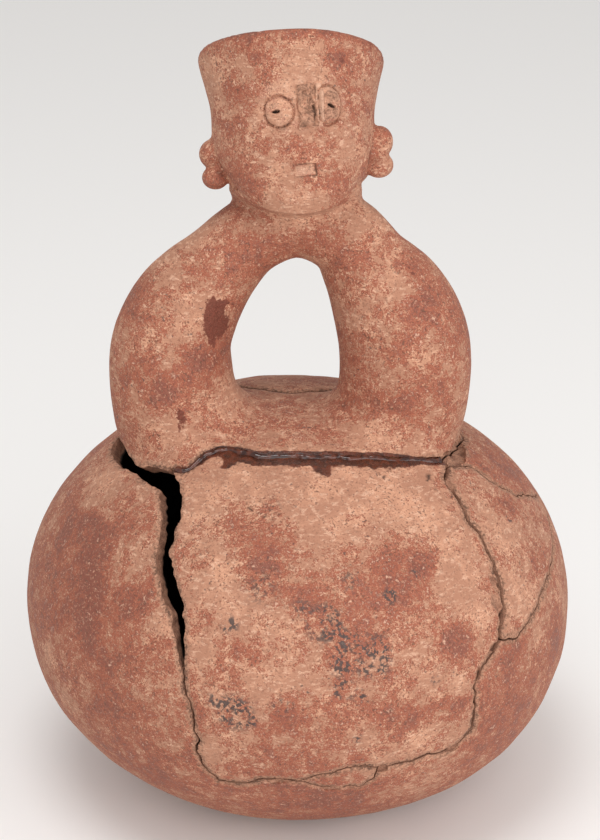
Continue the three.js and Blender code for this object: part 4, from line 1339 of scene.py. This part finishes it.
glue = resin_material()
bead_line = bpy.data.meshes.new("bead_line")
left_lip, right_lip = crack_lips["resin_crack"]
bead_aims = (left_lip + right_lip)[3:-3]
bead_aims = bead_aims / np.linalg.norm(bead_aims, axis=1)[:, None]
bead_points = on_body(bead_aims)
bead_points = settled(bead_points, form_distance, 2, 3.0) - bead_aims * BEAD_SINK
bead_line.from_pydata((bead_points * 0.001).tolist(), [[n, n + 1] for n in range(len(bead_points) - 1)], [])
resin_bead = bpy.data.objects.new("resin_bead_glue", bead_line)
bpy.context.scene.collection.objects.link(resin_bead)
sweep = resin_bead.modifiers.new("glue_bead", "NODES")
sweep.node_group = bead_tree(glue)
sockets = {item.name: item.identifier for item in sweep.node_group.interface.items_tree
           if item.in_out == "INPUT"}
bead_settings = {"Bead radius": BEAD_RADIUS, "Bead swell": BEAD_SWELL, "Drop radius": DROP_RADIUS,
                 "Drop spacing": DROP_SPACING, "Seed": BEAD_SEED}
for name, setting in bead_settings.items():
    sweep[sockets[name]] = setting
swept = bpy.data.meshes.new_from_object(resin_bead.evaluated_get(bpy.context.evaluated_depsgraph_get()))
resin_bead.modifiers.clear()
resin_bead.data = swept
swept.shade_smooth()
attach(resin_bead, "root")
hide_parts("resin_bead")

# Studio
# A plain pale table under soft frontal light, seen from a little above, as the vessel was photographed.
TABLE_SIZE = 8.0
TABLE_COLOUR = (0.88, 0.87, 0.86)
CAMERA_PLACE = (0.0010, -0.6954, 0.4034)
CAMERA_DOWN = 22.0
CAMERA_LENS = 101.9
LIGHTS = [
    {"name": "front_soft_light", "place": (0.15, -1.35, 0.42), "size": 1.6, "power": 10.0},
    {"name": "right_soft_light", "place": (1.10, -0.80, 0.45), "size": 1.0, "power": 5.5},
    {"name": "high_soft_light", "place": (-0.15, -0.3, 1.30), "size": 0.6, "power": 5.0},
]
LIGHTS_AIM = (0, 0, 0.12)
WORLD_LIGHT = 0.70

table_mesh = bpy.data.meshes.new("table")
half = TABLE_SIZE / 2
table_corners = [(-half, -half, 0), (half, -half, 0), (half, half, 0), (-half, half, 0)]
table_mesh.from_pydata(table_corners, [], [(0, 1, 2, 3)])
table = bpy.data.objects.new("table", table_mesh)
bpy.context.scene.collection.objects.link(table)
table_paint = bpy.data.materials.new("pale_table")
table_paint.use_nodes = True
table_paint.node_tree.nodes["Principled BSDF"].inputs["Base Color"].default_value = (*TABLE_COLOUR, 1)
table_paint.node_tree.nodes["Principled BSDF"].inputs["Roughness"].default_value = 0.9
table_mesh.materials.append(table_paint)

for light in LIGHTS:
    lamp = bpy.data.lights.new(light["name"], "AREA")
    lamp.shape = "DISK"
    lamp.size = light["size"]
    lamp.energy = light["power"]
    holder = bpy.data.objects.new(light["name"], lamp)
    holder.location = light["place"]
    aim = np.array(LIGHTS_AIM) - np.array(light["place"])
    pitch = math.atan2(math.hypot(aim[0], aim[1]), -aim[2])
    holder.rotation_euler = (pitch, 0, math.atan2(-aim[0], aim[1]))
    bpy.context.scene.collection.objects.link(holder)

room = bpy.data.worlds.new("pale_room")
room.use_nodes = True
room.node_tree.nodes["Background"].inputs["Color"].default_value = (1.0, 0.985, 0.97, 1)
room.node_tree.nodes["Background"].inputs["Strength"].default_value = WORLD_LIGHT
bpy.context.scene.world = room
bpy.context.scene.view_settings.view_transform = "Standard"

lens = bpy.data.cameras.new("camera")
lens.sensor_fit = "VERTICAL"
lens.sensor_height = 36.0
lens.lens = CAMERA_LENS
lens.clip_end = 50
camera = bpy.data.objects.new("camera", lens)
camera.location = CAMERA_PLACE
camera.rotation_euler = (math.radians(90 - CAMERA_DOWN), 0, 0)
bpy.context.scene.collection.objects.link(camera)
bpy.context.scene.camera = camera
